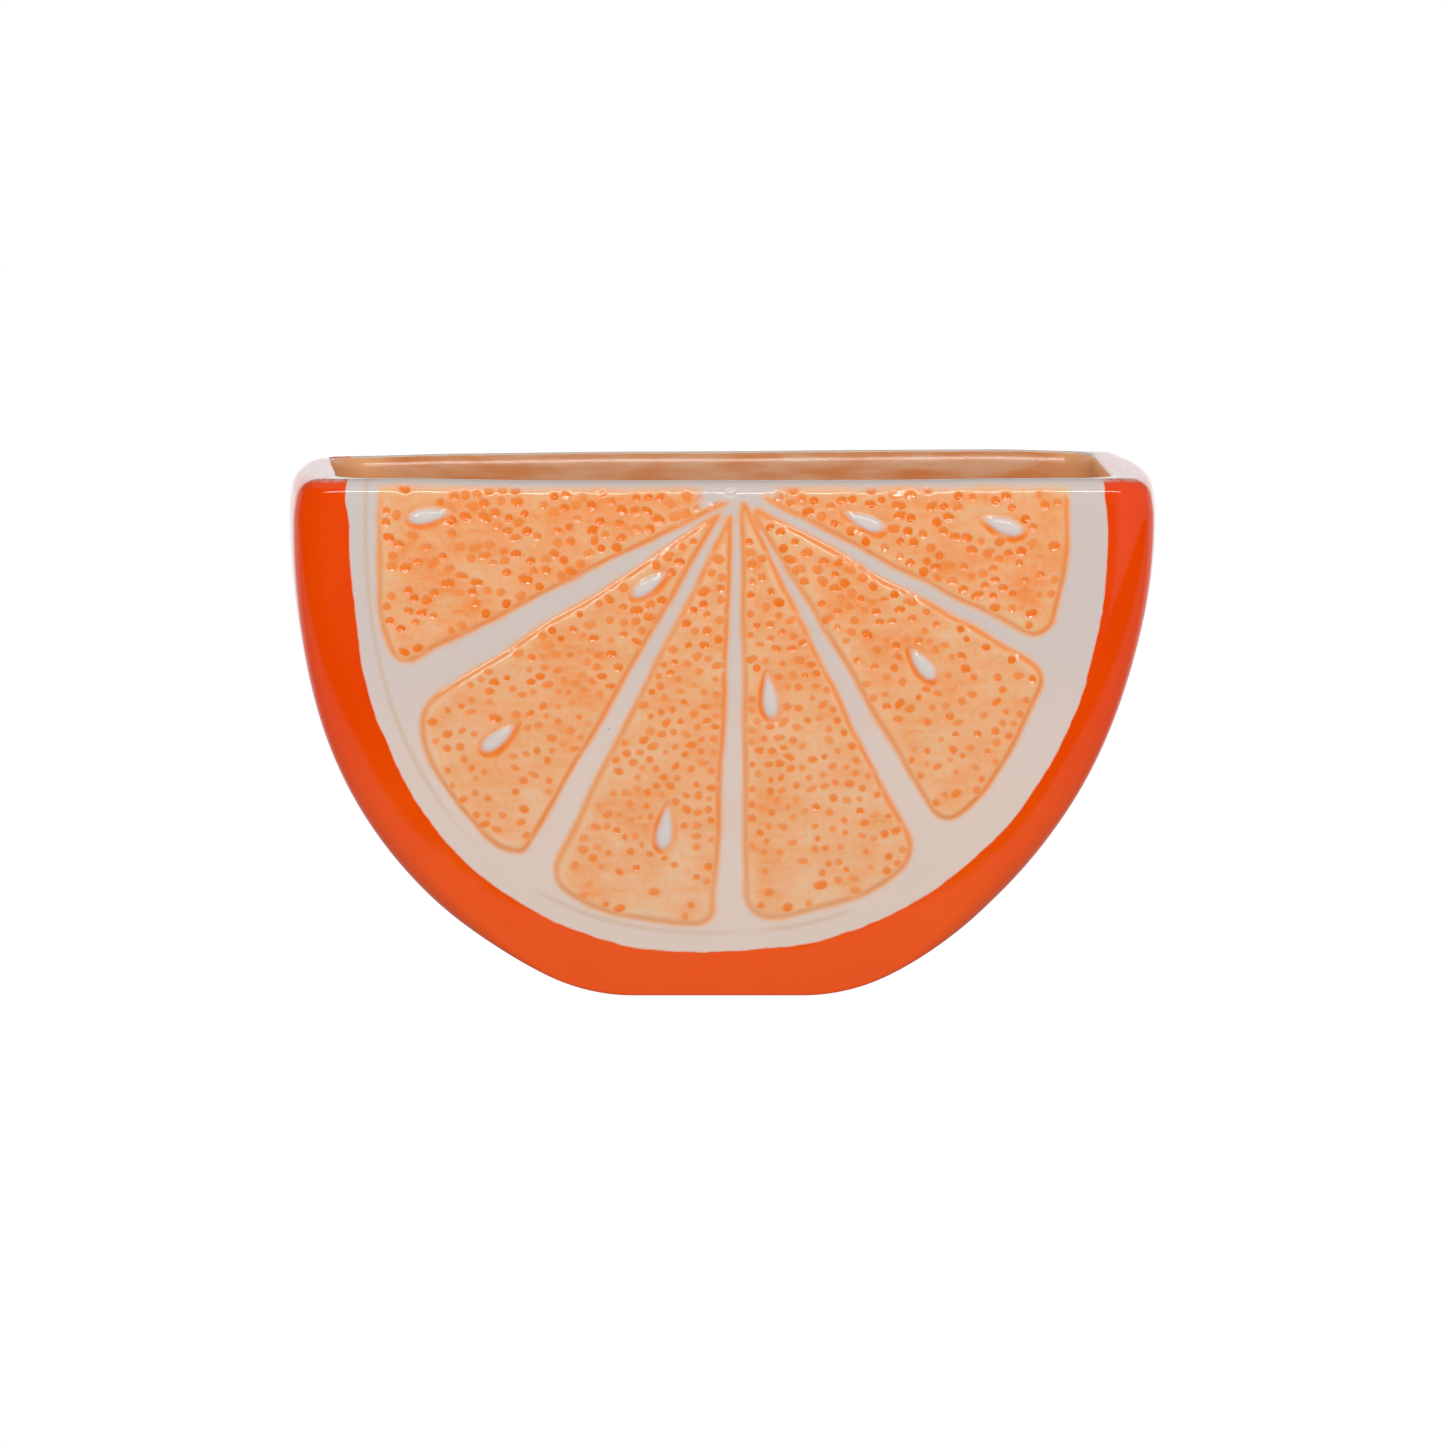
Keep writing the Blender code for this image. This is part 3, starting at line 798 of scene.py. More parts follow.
def scatterTree():
    # pit centres scattered over the pulp, closer together towards the middle of the slice
    tree, start, end = newTree("scatterPits", [("Spacing", "Float"), ("Density", "Float"), ("Seed", "Int"),
                                               ("Smallest", "Float"), ("Largest", "Float"),
                                               ("Sparse Side", "Float"), ("Glaze", "Material")])
    given = start.outputs
    x, _, _ = apart(addNode(tree, "GeometryNodeInputPosition").outputs["Position"])
    near, far = relief["pitSparseX"]
    crowding = ramped(calc("ABSOLUTE", x), near * mm, far * mm, 1.0, given["Sparse Side"], "LINEAR")
    spread = addNode(tree, "GeometryNodeDistributePointsOnFaces",
                     {"Mesh": given["Geometry"], "Distance Min": given["Spacing"],
                      "Density Max": given["Density"], "Density Factor": crowding, "Seed": given["Seed"]},
                     distribute_method="POISSON")
    size = addNode(tree, "FunctionNodeRandomValue", {"Seed": given["Seed"]}, data_type="FLOAT")
    for name, limit in (("Min", "Smallest"), ("Max", "Largest")):
        tree.links.new(given[limit], enabled(size.inputs, name)[0])
    shade = addNode(tree, "FunctionNodeRandomValue", {"Seed": relief["shadeSeed"]}, data_type="FLOAT")
    made = spread.outputs["Points"]
    for name, node in (("pitSize", size), ("pitTone", shade)):
        made = stored(made, name, enabled(node.outputs, "Value")[0])
    corners = addNode(tree, "GeometryNodePointsToVertices", {"Points": made})
    closeTree(tree, end, corners.outputs["Mesh"], given["Glaze"])
    return tree


def scatterPits(tree, seed, material):
    # pit centres on one face as (x, s), with their radii, shades and the way each is drawn out
    vertices, faces = [], []
    for corners in relief["segments"].values():
        outline = roundedOutline(corners, relief["pitInset"])
        faces.append(range(len(vertices), len(vertices) + len(outline)))
        vertices += [(x * mm, 0.0, s * mm) for x, s in outline]
    ground = newObject("pitGround", vertices, faces)
    smallest, largest = relief["pitRadius"]
    data = evaluated(ground, tree, {"Spacing": relief["pitSpacing"] * mm, "Seed": seed, "Glaze": material,
                                    "Density": relief["pitDensity"] / mm ** 2, "Smallest": smallest,
                                    "Largest": largest, "Sparse Side": relief["pitSparse"]})
    bpy.data.objects.remove(ground)
    centres = readPlaces(data)[:, [0, 2]] / mm
    radius, shade = (readAttribute(data, name).astype(float) for name in ("pitSize", "pitTone"))
    height = centres[:, 1]
    radius = radius * (1.0 + relief["pitLarger"] * ease(*relief["pitLargerZ"], height))
    rng = np.random.default_rng(seed)
    keep = (seedField(centres) > radius + relief["pitSeedGap"]) & (height < shoulderZ + relief["pitTop"])
    keep &= rng.random(len(radius)) > relief["pitLoss"] * ease(*relief["pitLossZ"], height)
    pits = {"centres": centres[keep], "radius": radius[keep], "shade": shade[keep]}
    count = len(pits["radius"])
    pits["stretch"] = 1.0 + relief["pitStretch"] * rng.random(count) ** 3.0
    pits["tilt"] = rng.normal(*relief["pitTilt"], count)
    return pits


def pressTree():
    # presses the pits into a face, and stores where each point lies in its nearest pit
    tree, start, end = newTree("pressPits", [("Pits", "Object"), ("Depth", "Float"), ("Low Share", "Float"),
                                             ("Low Height", "Float"), ("Full Height", "Float"),
                                             ("Glaze", "Material")])
    given = start.outputs
    pits = addNode(tree, "GeometryNodeObjectInfo", {"Object": given["Pits"]}).outputs["Geometry"]

    def named(name, kind="FLOAT_VECTOR"):
        node = addNode(tree, "GeometryNodeInputNamedAttribute", {"Name": name}, data_type=kind)
        return node.outputs["Attribute"]

    flat = named("flat")
    nearest = addNode(tree, "GeometryNodeSampleNearest", {"Geometry": pits, "Sample Position": flat},
                      domain="POINT").outputs["Index"]

    def sampled(value, kind="FLOAT_VECTOR"):
        node = addNode(tree, "GeometryNodeSampleIndex", {"Geometry": pits, "Index": nearest},
                       data_type=kind, domain="POINT")
        tree.links.new(value, node.inputs["Value"])
        return node.outputs["Value"]

    place = sampled(addNode(tree, "GeometryNodeInputPosition").outputs["Position"])
    radius, shade = (sampled(named(name, "FLOAT"), "FLOAT") for name in ("pitSize", "pitTone"))
    axis = sampled(named("pitAxis"))
    offset = arrows("SUBTRACT", flat, place)

    # place in the pit in radii, shorter along the way the pit is drawn out
    along = lengthened(axis, arrows("DOT_PRODUCT", offset, axis))
    spot = lengthened(arrows("SUBTRACT", offset, along), calc("DIVIDE", 1.0, radius))
    ratio = arrows("LENGTH", spot)
    spotX, _, spotZ = apart(spot)
    spotPlace = addNode(tree, "ShaderNodeCombineXYZ", {"X": spotX, "Y": times(ratio, ratio), "Z": spotZ})
    share = ramped(apart(place)["Z"], given["Low Height"], given["Full Height"], given["Low Share"])
    shallow = relief["pitShallow"]
    depth = times(ramped(ratio, *relief["pitBowl"], 1.0, 0.0), scaled(shade, shallow, 1.0 - shallow),
                  given["Depth"], share)
    push = lengthened(named("outward"), times(depth, -1.0))
    made = addNode(tree, "GeometryNodeSetPosition", {"Geometry": given["Geometry"], "Offset": push})
    away, wide = relief["lipPlace"]
    over = ramped(calc("DIVIDE", apart(offset)["Z"], radius), 0.0, 1.0)
    lip = times(ramped(calc("ABSOLUTE", minus(ratio, away)), 0.0, wide, 1.0, 0.0), over)
    made = stored(made.outputs["Geometry"], "pitPlace", spotPlace.outputs["Vector"], "FLOAT_VECTOR")
    made = stored(stored(made, "pitShade", shade), "lip", lip)
    closeTree(tree, end, made, given["Glaze"])
    return tree


def thinned(points, gap):
    # keeps each point that has no earlier one nearer than the gap
    cells, kept = {}, []
    for i, (x, z) in enumerate(points):
        cx, cz = int(x // gap), int(z // gap)
        near = [p for a in (-1, 0, 1) for b in (-1, 0, 1) for p in cells.get((cx + a, cz + b), ())]
        if all((x - px) ** 2 + (z - pz) ** 2 >= gap * gap for px, pz in near):
            cells.setdefault((cx, cz), []).append((x, z))
            kept.append(i)
    return kept


def gaps(points, pits):
    return np.hypot(points[:, 0:1] - pits["centres"][:, 0], points[:, 1:2] - pits["centres"][:, 1])


def pitRings(pits):
    # rings of points round each pit, and an arc over it
    rings = []
    edge = relief["pitBowl"][1]
    for i, (cx, cz) in enumerate(pits["centres"]):
        r, t = pits["radius"][i], pits["tilt"][i]
        for share, count in mesh["pitRings"]:
            angle = (np.arange(count) + 0.5 * (i % 2)) * 2.0 * math.pi / count
            if share > edge:
                angle = angle[np.sin(angle) > mesh["lipFrom"]]
            u, v = share * r * pits["stretch"][i] * np.cos(angle), share * r * np.sin(angle)
            ring = np.stack([cx + u * math.cos(t) - v * math.sin(t),
                             cz + u * math.sin(t) + v * math.cos(t)], axis=1)
            gap = gaps(ring, pits) - min(share, edge) * pits["radius"] * mesh["ringTrim"]
            gap[:, i] = 1.0
            rings.append(ring[gap.min(axis=1) > 0.0])
    return np.concatenate(rings)


def facePoints(stations, pits):
    # points and fixed edges of a face in its flat layout (x, distance up the face), boundary first
    x, z, nx, nz = stations
    inward = pot["edgeWide"]
    levelZ, _, levelS, levelHalf = rollLevels()
    boundary = list(zip(x - nx * inward, z - nz * inward))
    boundary += [(lean(a) + h, s) for a, h, s in zip(levelZ, levelHalf, levelS)]
    row = np.linspace(1.0, -1.0, 2 * round(levelHalf[-1] / mesh["rowStep"]) + 1)
    boundary += [(lean(levelZ[-1]) + levelHalf[-1] * t, domainTop) for t in row[1:-1]]
    boundary += [(lean(a) - h, s) for a, h, s in list(zip(levelZ, levelHalf, levelS))[::-1]]
    points, edges = [tuple(p) for p in boundary], []

    def addRun(run, keep, closed=False):
        last, first = None, None
        for p, wanted in zip(run, keep):
            if wanted:
                points.append(tuple(p))
                if last is not None:
                    edges.append((last, len(points) - 1))
                elif first is None:
                    first = len(points) - 1
            last = len(points) - 1 if wanted else None
        if closed and keep.all():
            edges.append((last, first))

    def clear(run):
        return (gaps(run, pits) - pits["radius"] * pits["stretch"]).min(axis=1) > mesh["pitClear"]

    for half, level in zip([halfWidth(shoulderZ) - inward, *levelHalf[:-1]], [shoulderZ, *levelS[:-1]]):
        run = np.array([(half * t, level) for t in row[1:-1]])
        addRun(run, clear(run))
    highest = shoulderZ - mesh["rimClear"]
    for corners in relief["segments"].values():
        for inset in relief["loops"]:
            run = evenly(roundedOutline(corners, inset), mesh["loopStep"])
            d, _ = segmentField(run)
            keep = (np.abs(d - inset) < mesh["loopTrim"]) & (seedField(run) > mesh["seedClear"])
            addRun(run, keep & clear(run) & (run[:, 1] < highest), True)
    for tip, end in relief["seeds"]:
        for grow in relief["seedLoops"]:
            run = evenly(dropOutline(*tip, *end, relief["seedHalfWidth"], grow=grow), mesh["seedStep"])
            addRun(run, clear(run) & (run[:, 1] < highest), True)
        tip, end = np.array(tip), np.array(end)
        middle = tip + mesh["seedMiddle"] * (end - tip)
        for share in mesh["seedInner"]:
            run = evenly(dropOutline(*(middle + (tip - middle) * share), *(middle + (end - middle) * share),
                                     relief["seedHalfWidth"] * share), mesh["seedStep"])
            addRun(run, np.ones(len(run), bool), True)
    every = points + [tuple(p) for p in pitRings(pits) if p[1] < domainTop - 0.5]
    points += [every[i] for i in thinned(every, mesh["pointGap"]) if i >= len(points)]
    return points, edges, len(boundary), row


def fillWithGrid(points, boundaryX, boundaryZ):
    # even background points wherever no other point is near
    tree = kdtree.KDTree(len(points))
    for i, (x, z) in enumerate(points):
        tree.insert((x, z, 0.0), i)
    tree.balance()
    extra, halfSpan = [], mesh["gridHalf"]
    side, top, gap = mesh["gridGaps"]
    for step, inPulp in ((mesh["pulpStep"], True), (mesh["pithStep"], False)):
        rise = step * math.sqrt(3.0) / 2.0
        grid = np.array([(-halfSpan + step * (i + 0.5 * (j % 2)), rise * j)
                         for j in range(int(domainTop / rise) + 1)
                         for i in range(int(2.0 * halfSpan / step) + 1)])
        d, _ = segmentField(grid)
        grid = grid[(d > mesh["gridPulp"]) if inPulp else (d < mesh["gridPith"])]
        halfX = np.interp(grid[:, 1], boundaryZ, boundaryX)
        grid = grid[np.abs(grid[:, 0] - lean(grid[:, 1])) < halfX - side * step]
        for x, z in grid[grid[:, 1] <= domainTop - top * step]:
            if tree.find((x, z, 0.0))[2] > gap * step:
                extra.append((x, z))
    return extra


def triangulated(points, edges, boundary):
    # fills an outline given by the first points, keeping nothing outside a hollow stretch of it
    found = geometry.delaunay_2d_cdt([Vector(p) for p in points], edges, [list(range(boundary))], 1, 1e-5,
                                     False)
    flat = np.array([tuple(v) for v in found[0]])
    a, b = flat[:boundary], np.roll(flat[:boundary], -1, axis=0)
    faces = []
    for face in found[2]:
        if max(face) < boundary:
            x, z = flat[list(face)].mean(axis=0)
            spans = (a[:, 1] > z) != (b[:, 1] > z)
            crossing = x < a[:, 0] + (z - a[:, 1]) * (b - a)[:, 0] / np.where(spans, (b - a)[:, 1], 1.0)
            if (spans & crossing).sum() % 2 == 0:
                continue
        faces.append(face)
    return flat, faces


def makeFace(side, stations, trees, seed, material):
    # one face, with its relief, glaze and pits, as a plain mesh
    scatter, press = trees
    pits = scatterPits(scatter, seed, material)
    points, edges, boundary, row = facePoints(stations, pits)
    x, z, nx, nz = stations
    half = len(x) // 2
    rightX, rightZ = (x - nx * pot["edgeWide"] - lean(z))[half:], (z - nz * pot["edgeWide"])[half:]
    rightX, rightZ = np.append(rightX, rightX[-1]), np.append(rightZ, domainTop)
    points += fillWithGrid(points, rightX, rightZ)
    flat, faces = triangulated(points, edges, boundary)
    calm = ease(0.0, relief["calm"], np.abs(insideOf([flat[:boundary]], flat)[0]))
    height = faceRelief(flat, seed) * calm
    glaze = faceGlaze(flat)

    # the drawing wobbles a little, as by hand, and settles at the edges of the face
    fx, fs = flat.T
    outwards = np.abs(fx - lean(fs)) / np.interp(fs, rightZ, rightX)
    free = relief["handWobble"] * calm * ease(*relief["wobbleEnds"], outwards)
    free *= ease(*relief["wobbleFoot"], fs) * ease(*relief["wobbleRim"], fs - shoulderZ)
    wobbleX, wobbleS = (along + free * waves(fx, fs, 0.0, relief["wobbleSize"], seed + i)
                        for i, along in ((1, fx), (2, fs)))

    turn = np.clip((wobbleS - shoulderZ) / pot["rimRoll"], 0.0, math.pi / 2.0)
    outward = np.stack([np.zeros_like(fx), -side * np.cos(turn), np.sin(turn)], axis=1)
    ground = np.stack([wobbleX, -side * (pot["halfDepth"] - pot["rimRoll"] * (1.0 - np.cos(turn))),
                       np.where(turn > 0.0, shoulderZ + pot["rimRoll"] * np.sin(turn), wobbleS)], axis=1)
    place = (ground + outward * height[:, None]) * mm
    face = newObject("face", place, faces if side > 0 else [f[::-1] for f in faces])
    writeAttribute(face.data, "flat", np.stack([fx, np.zeros_like(fx), fs], axis=1))
    writeAttribute(face.data, "outward", outward * mm)
    for name, values in glaze.items():
        writeAttribute(face.data, name, values)
    count = len(pits["tilt"])
    pitPoints = newObject("pits", np.insert(pits["centres"], 1, 0.0, axis=1), [])
    axis = np.stack([np.cos(pits["tilt"]), np.zeros(count), np.sin(pits["tilt"])], axis=1)
    writeAttribute(pitPoints.data, "pitAxis", axis * np.sqrt(1.0 - 1.0 / pits["stretch"])[:, None])
    writeAttribute(pitPoints.data, "pitSize", pits["radius"])
    writeAttribute(pitPoints.data, "pitTone", pits["shade"])
    lowHeight, fullHeight = relief["pitSoftZ"]
    made = evaluated(face, press, {"Pits": pitPoints, "Depth": relief["pitDepth"], "Glaze": material,
                                   "Low Share": relief["pitLowShare"], "Low Height": lowHeight,
                                   "Full Height": fullHeight})
    bpy.data.objects.remove(face)
    bpy.data.objects.remove(pitPoints)
    print("stage: face", side, "has", count, "pits and", len(made.polygons), "triangles")
    return made, row


# what each point of the planter keeps, and how many numbers that is
attributeWidths = {"covered": 1, "line": 1, "thin": 1, "seed": 1, "pitPlace": 3, "pitShade": 1, "lip": 1,
                   "inside": 1}


def readMesh(data):
    values = {name: readAttribute(data, name, width) for name, width in attributeWidths.items()
              if name in data.attributes}
    return readPlaces(data), [tuple(p.vertices) for p in data.polygons], values


def assemble(parts, name):
    # one closed mesh from parts that share their edges' points
    vertices, faces, values = [], [], {key: [] for key in attributeWidths}
    count = 0
    for co, polygons, attributes in parts:
        vertices.append(co)
        faces += [tuple(i + count for i in polygon) for polygon in polygons]
        for key, width in attributeWidths.items():
            blank = np.zeros(len(co)) if width == 1 else np.full((len(co), 3), 9.0)
            values[key].append(attributes.get(key, blank))
        count += len(co)
    item = newObject(name, np.concatenate(vertices), faces)
    for key in attributeWidths:
        writeAttribute(item.data, key, np.concatenate(values[key]))
    bm = bmesh.new()
    bm.from_mesh(item.data)
    bmesh.ops.remove_doubles(bm, verts=bm.verts, dist=mesh["joinGap"] * mm)
    bmesh.ops.recalc_face_normals(bm, faces=bm.faces)
    openEdges = sum(1 for edge in bm.edges if len(edge.link_faces) != 2)
    bm.to_mesh(item.data)
    bm.free()
    triangles = sum(len(p.vertices) - 2 for p in item.data.polygons)
    print("stage:", name, "has", openEdges, "open edges and", triangles, "triangles")
    return item


def settle(item):
    # slow unevenness of a hand-finished casting; the foot stays flat
    x, y, z = readPlaces(item.data).T / mm
    size = pot["unevenness"] * ease(*pot["unevenZ"], z)
    moved = np.stack([along + size * waves(x, y, z, *wave)
                      for along, wave in zip((x, y, z), pot["unevenWaves"])], axis=1)
    middle, length = pot["backWaveX"]
    outwards = np.abs(x)
    back = pot["backWave"] * np.sin((x - middle) / length)
    back -= pot["backDroop"] * ease(*pot["backDroopX"], outwards)
    sag = pot["frontSag"] * (ease(*pot["frontSagX"], outwards) - pot["frontSagMiddle"])
    bent = back * ease(*pot["backY"], y) + sag * ease(*pot["frontY"], y)
    moved[:, 2] += ease(pot["rimBendsFrom"], pot["height"], z) * bent
    moved[:, 0] -= pot["backSkew"] * ease(*pot["backSkewY"], y) * leftEnd(x, z)
    drawn = pot["rimDraw"] * ease(*pot["rimDrawX"], outwards) * ease(pot["rimDrawFrom"], pot["height"], z)
    moved[:, 0] -= np.sign(x) * drawn
    item.data.vertices.foreach_set("co", (moved * mm).astype(np.float32).ravel())
    item.data.update()


faceLight = 0.88  # brightness of a white face, which turns seen colours into glaze colours

glazeColours = {
    "pith": (206, 193, 187),
    # painted warm bounce light from the orange rind, on the low white ground
    "pithBounceLit": (219, 200, 189),
    "pulpPale": (227, 193, 158),
    "pulpTan": (223, 186, 140),
    "pulpThin": (235, 178, 134),
    "pulpMiddle": (235, 163, 109),
    "pulpFull": (237, 146, 83),
    "pulpPooled": (236, 124, 41),
    "pulpDeep": (231, 103, 18),
    "peach": (246, 176, 134),
    "seed": (213, 202, 196),
    "rindDeep": (228, 63, 1),
    "rindLight": (236, 86, 6),
    "cream": (226, 206, 182),
    "blush": (228, 150, 128),
    "insideDeep": (212, 132, 72),
    "insidePale": (220, 174, 136),
    # painted light for the cavity's ends, which stand in shade
    "insideEndLit": (247, 176, 122),
    "stain": (205, 170, 140),
    "speck": (110, 86, 74),
    "clay": (206, 192, 178),
}

unstretched = (1.0, 1.0, 1.0)

# soft patterns: size in millimetres, detail, stretch along each axis, and place in the noise
brushwork = {
    "clouds": (11.0, 2.0, unstretched, 0.0),
    "patches": (4.0, 3.0, (0.6, 1.0, 1.0), 0.7),
    "strokes": (0.9, 2.0, (0.07, 1.0, 1.0), 1.9),
    "grain": (0.45, 2.0, unstretched, 0.0),
    "tanPatches": (6.5, 2.0, (0.7, 1.0, 1.0), 5.1),
    "pitEdge": (1.5, 1.0, unstretched, 4.1),
    "stainPatches": (24.0, 1.0, unstretched, 1.3),
    "rindClouds": (14.0, 2.0, unstretched, 2.1),
    "rindBristles": (2.2, 2.0, unstretched, 0.0),
    "wipeAndSheenStreaks": (0.9, 3.0, (1.0, 0.1, 1.0), 2.7),
    "insideStreaks": (5.0, 3.0, (0.3, 0.3, 1.4), 3.3),
    "insideEdge": (1.6, 2.0, unstretched, 0.0),
    "orangePeel": (3.0, 2.0, unstretched, 0.0),
    "clayGrain": (0.8, 4.0, unstretched, 0.0),
    "clayClouds": (7.0, 2.0, unstretched, 0.0),
}


def albedo(name):
    made = []
    for value in glazeColours[name]:
        c = value / 255.0
        c = c / 12.92 if c <= 0.04045 else ((c + 0.055) / 1.055) ** 2.4
        made.append(min(c / faceLight, 0.97))
    return (*made, 1.0)


def mixed(factor, first, second):
    # from one colour to another, each wired, named or given
    first, second = (albedo(colour) if isinstance(colour, str) else colour for colour in (first, second))
    node = addNode(factor.id_data, "ShaderNodeMix", {0: factor, 6: first, 7: second}, data_type="RGBA")
    return node.outputs[2]


def pattern(coordinates, name):
    # soft noise from 0 to 1
    size, detail, stretch, move = brushwork[name]
    tree = coordinates.id_data
    mapping = addNode(tree, "ShaderNodeMapping", {"Vector": coordinates, "Scale": stretch,
                                                 "Location": (move, move, move)})
    node = addNode(tree, "ShaderNodeTexNoise", {"Vector": mapping.outputs["Vector"], "Detail": detail,
                                                "Scale": 1.0 / (size * mm)})
    return node.outputs["Fac"]


def swing(coordinates, name, amount):
    # the same, to either side of nought
    return scaled(pattern(coordinates, name), amount, -0.5 * amount)


def attributeOf(tree, name, output="Fac"):
    return addNode(tree, "ShaderNodeAttribute", attribute_name=name).outputs[output]


def bumped(height, strength, deep):
    node = addNode(height.id_data, "ShaderNodeBump", {"Strength": strength, "Distance": deep * mm,
                                                      "Height": height})
    return node.outputs["Normal"]


def newMaterial(name):
    material = bpy.data.materials.new(name)
    material.use_nodes = True
    tree = material.node_tree
    return material, tree.nodes["Principled BSDF"], tree.nodes.new("ShaderNodeTexCoord").outputs["Object"]


# the orange on the segments; an amount given as a pair is how much it changes, and what it starts from
pulpLook = {
    "wash": (0.16, 0.22),  # deeper towards the rim
    "washZ": (30.0, 88.0),
    "washPatterns": {"clouds": 0.55, "patches": 0.6, "strokes": 0.3, "grain": 0.2},
    "lowZ": (72.0, 40.0),  # "low" is 0 above these heights and 1 under them
    "discEnd": (0.28, 1.1),  # the disc in a pit, in radii: softer low down
    "discFull": (-0.26, 0.84),
    "discWobble": 0.5,
    "discShared": (0.5, 0.28),  # and none where a face's corners belong to different pits
    "halo": 0.1,
    "haloReach": (2.3, 1.0),
    "pitTone": (0.26, 0.62),  # deeper where a pit's shade is
    "pitUpper": (-0.14, 1.0),  # paler at its upper side
    "pitLow": (-0.14, 1.0),  # and low down on the slice
    "ramp": [(0.0, "pulpPale"), (0.18, "pulpThin"), (0.4, "pulpMiddle"), (0.6, "pulpFull"),
             (0.82, "pulpPooled"), (1.0, "pulpDeep")],
    "tan": (-0.2, 0.46),  # tan patches where the glaze is thin, fewer low down
    "tanPatches": (0.45, 0.72),
    "tanThin": (0.62, 0.3),
    "lip": 0.65,
}


def pulpColour(coordinates, z):
    # brushed glaze, thin on the shoulders and pooled in pits and grooves
    tree, look = coordinates.id_data, pulpLook
    low = ramped(z, *look["lowZ"])
    wash = scaled(ramped(z, *look["washZ"]), *look["wash"])
    for name, share in look["washPatterns"].items():
        wash = plus(wash, swing(coordinates, name, share))
    wash = times(wash, calc("SUBTRACT", 1.0, attributeOf(tree, "thin"), clamp=True))
    spot = attributeOf(tree, "pitPlace", "Vector")
    _, squared, spotUp = apart(spot)
    ratio = arrows("LENGTH", arrows("MULTIPLY", spot, (1.0, 0.0, 1.0)))
    wash = plus(wash, times(ramped(ratio, *look["haloReach"]), look["halo"]))
    disc = ramped(plus(ratio, swing(coordinates, "pitEdge", look["discWobble"])),
                  scaled(low, *look["discEnd"]), scaled(low, *look["discFull"]))
    disc = times(disc, ramped(minus(squared, times(ratio, ratio)), *look["discShared"]))
    tone = times(scaled(attributeOf(tree, "pitShade"), *look["pitTone"]), scaled(spotUp, *look["pitUpper"]),
                 scaled(low, *look["pitLow"]))
    pool = greatest(wash, times(disc, tone), attributeOf(tree, "line"))
    ramp = addNode(tree, "ShaderNodeValToRGB", {"Fac": pool})
    stops = ramp.color_ramp.elements
    while len(stops) < len(look["ramp"]):
        stops.new(0.5)
    for stop, (place, name) in zip(stops, look["ramp"]):
        stop.position = place
        stop.color = albedo(name)
    tan = ramped(pattern(coordinates, "tanPatches"), *look["tanPatches"])
    tan = times(tan, ramped(pool, *look["tanThin"]), scaled(low, *look["tan"]))
    colour = mixed(tan, ramp.outputs["Color"], "pulpTan")
    return mixed(times(attributeOf(tree, "lip"), look["lip"]), colour, "peach")


pithLook = {
    "lowZ": (74.0, 34.0),  # warmer low down: painted warm bounce light from the orange rind
    "stain": 0.5,  # a faint stain along the inner groove, in patches and at the left
    "stainPlace": 3.3,  # this far inside the rind
    "stainWidth": 0.45,
    "stainPatches": (0.42, 0.62),
    "stainPatchX": (45.0, 20.0),
    "stainLeftX": (-42.0, -56.0),
    "speckGap": 8.5,  # a few iron specks
    "speckSize": (0.012, 0.026),
    "speckTone": 0.5,
}


def pithColour(coordinates, plain, x, z):
    # white with a faint stain along its inner groove
    look = pithLook
    across = times(plus(plain, look["stainPlace"]), 1.0 / look["stainWidth"])
    line = calc("POWER", math.e, times(across, across, -1.0))
    patchy = times(ramped(pattern(coordinates, "stainPatches"), *look["stainPatches"]),
                   ramped(x, *look["stainPatchX"]))
    patchy = greatest(patchy, ramped(x, *look["stainLeftX"]))
    # painted light: the white ground warms low down as if lit by light bounced off the rind
    pith = mixed(ramped(z, *look["lowZ"]), "pith", "pithBounceLit")
    return mixed(times(line, patchy, look["stain"]), pith, "stain")


def speckled(coordinates, surface):
    specks = addNode(coordinates.id_data, "ShaderNodeTexVoronoi",
                     {"Vector": coordinates, "Scale": 1.0 / (pithLook["speckGap"] * mm)})
    share = ramped(specks.outputs["Distance"], *pithLook["speckSize"], pithLook["speckTone"], 0.0, "LINEAR")
    return mixed(share, surface, "speck")


rindLook = {
    "wobble": 1.1,  # of its brushed edge
    "bristles": 0.35,
    "edge": (0.0, 0.16),
    "blush": 0.7,  # a thin pink line along that edge
    "blushAt": (-0.2, 0.0),
    "backRim": -3.8,  # the rind starts this much further out on the back rim
    "backRimY": (14.0, 28.0),
    "backRimZ": (84.0, 91.0),
    "topZ": (85.0, 91.5),  # nearer the middle at the top right, further out at the top left
    "top": (1.2, -0.55),
    "rightX": (-10.0, 10.0),
    "flank": (-0.35, 0.35),  # and nearer again under that, on the left
    "flankZ": (58.0, 68.0),
    "clouds": 0.5,
    "floorReflection": 0.6,  # painted reflection of the pale floor, lighter low down
    "floorReflectionZ": (62.0, 14.0),
    "darker": -0.12,  # everywhere
    "wipedAndSheenUp": (0.75, 0.97),  # wiped thin on top of the rim's ends, in streaks along the rim, with a painted white reflection on these up-facing tops
    "wipedAndSheenZ": (88.0, 91.0),
    "wipeAndSheenStreaks": (0.36, 0.62),
    "wipeAndSheenTone": (-0.6, 0.8),
}


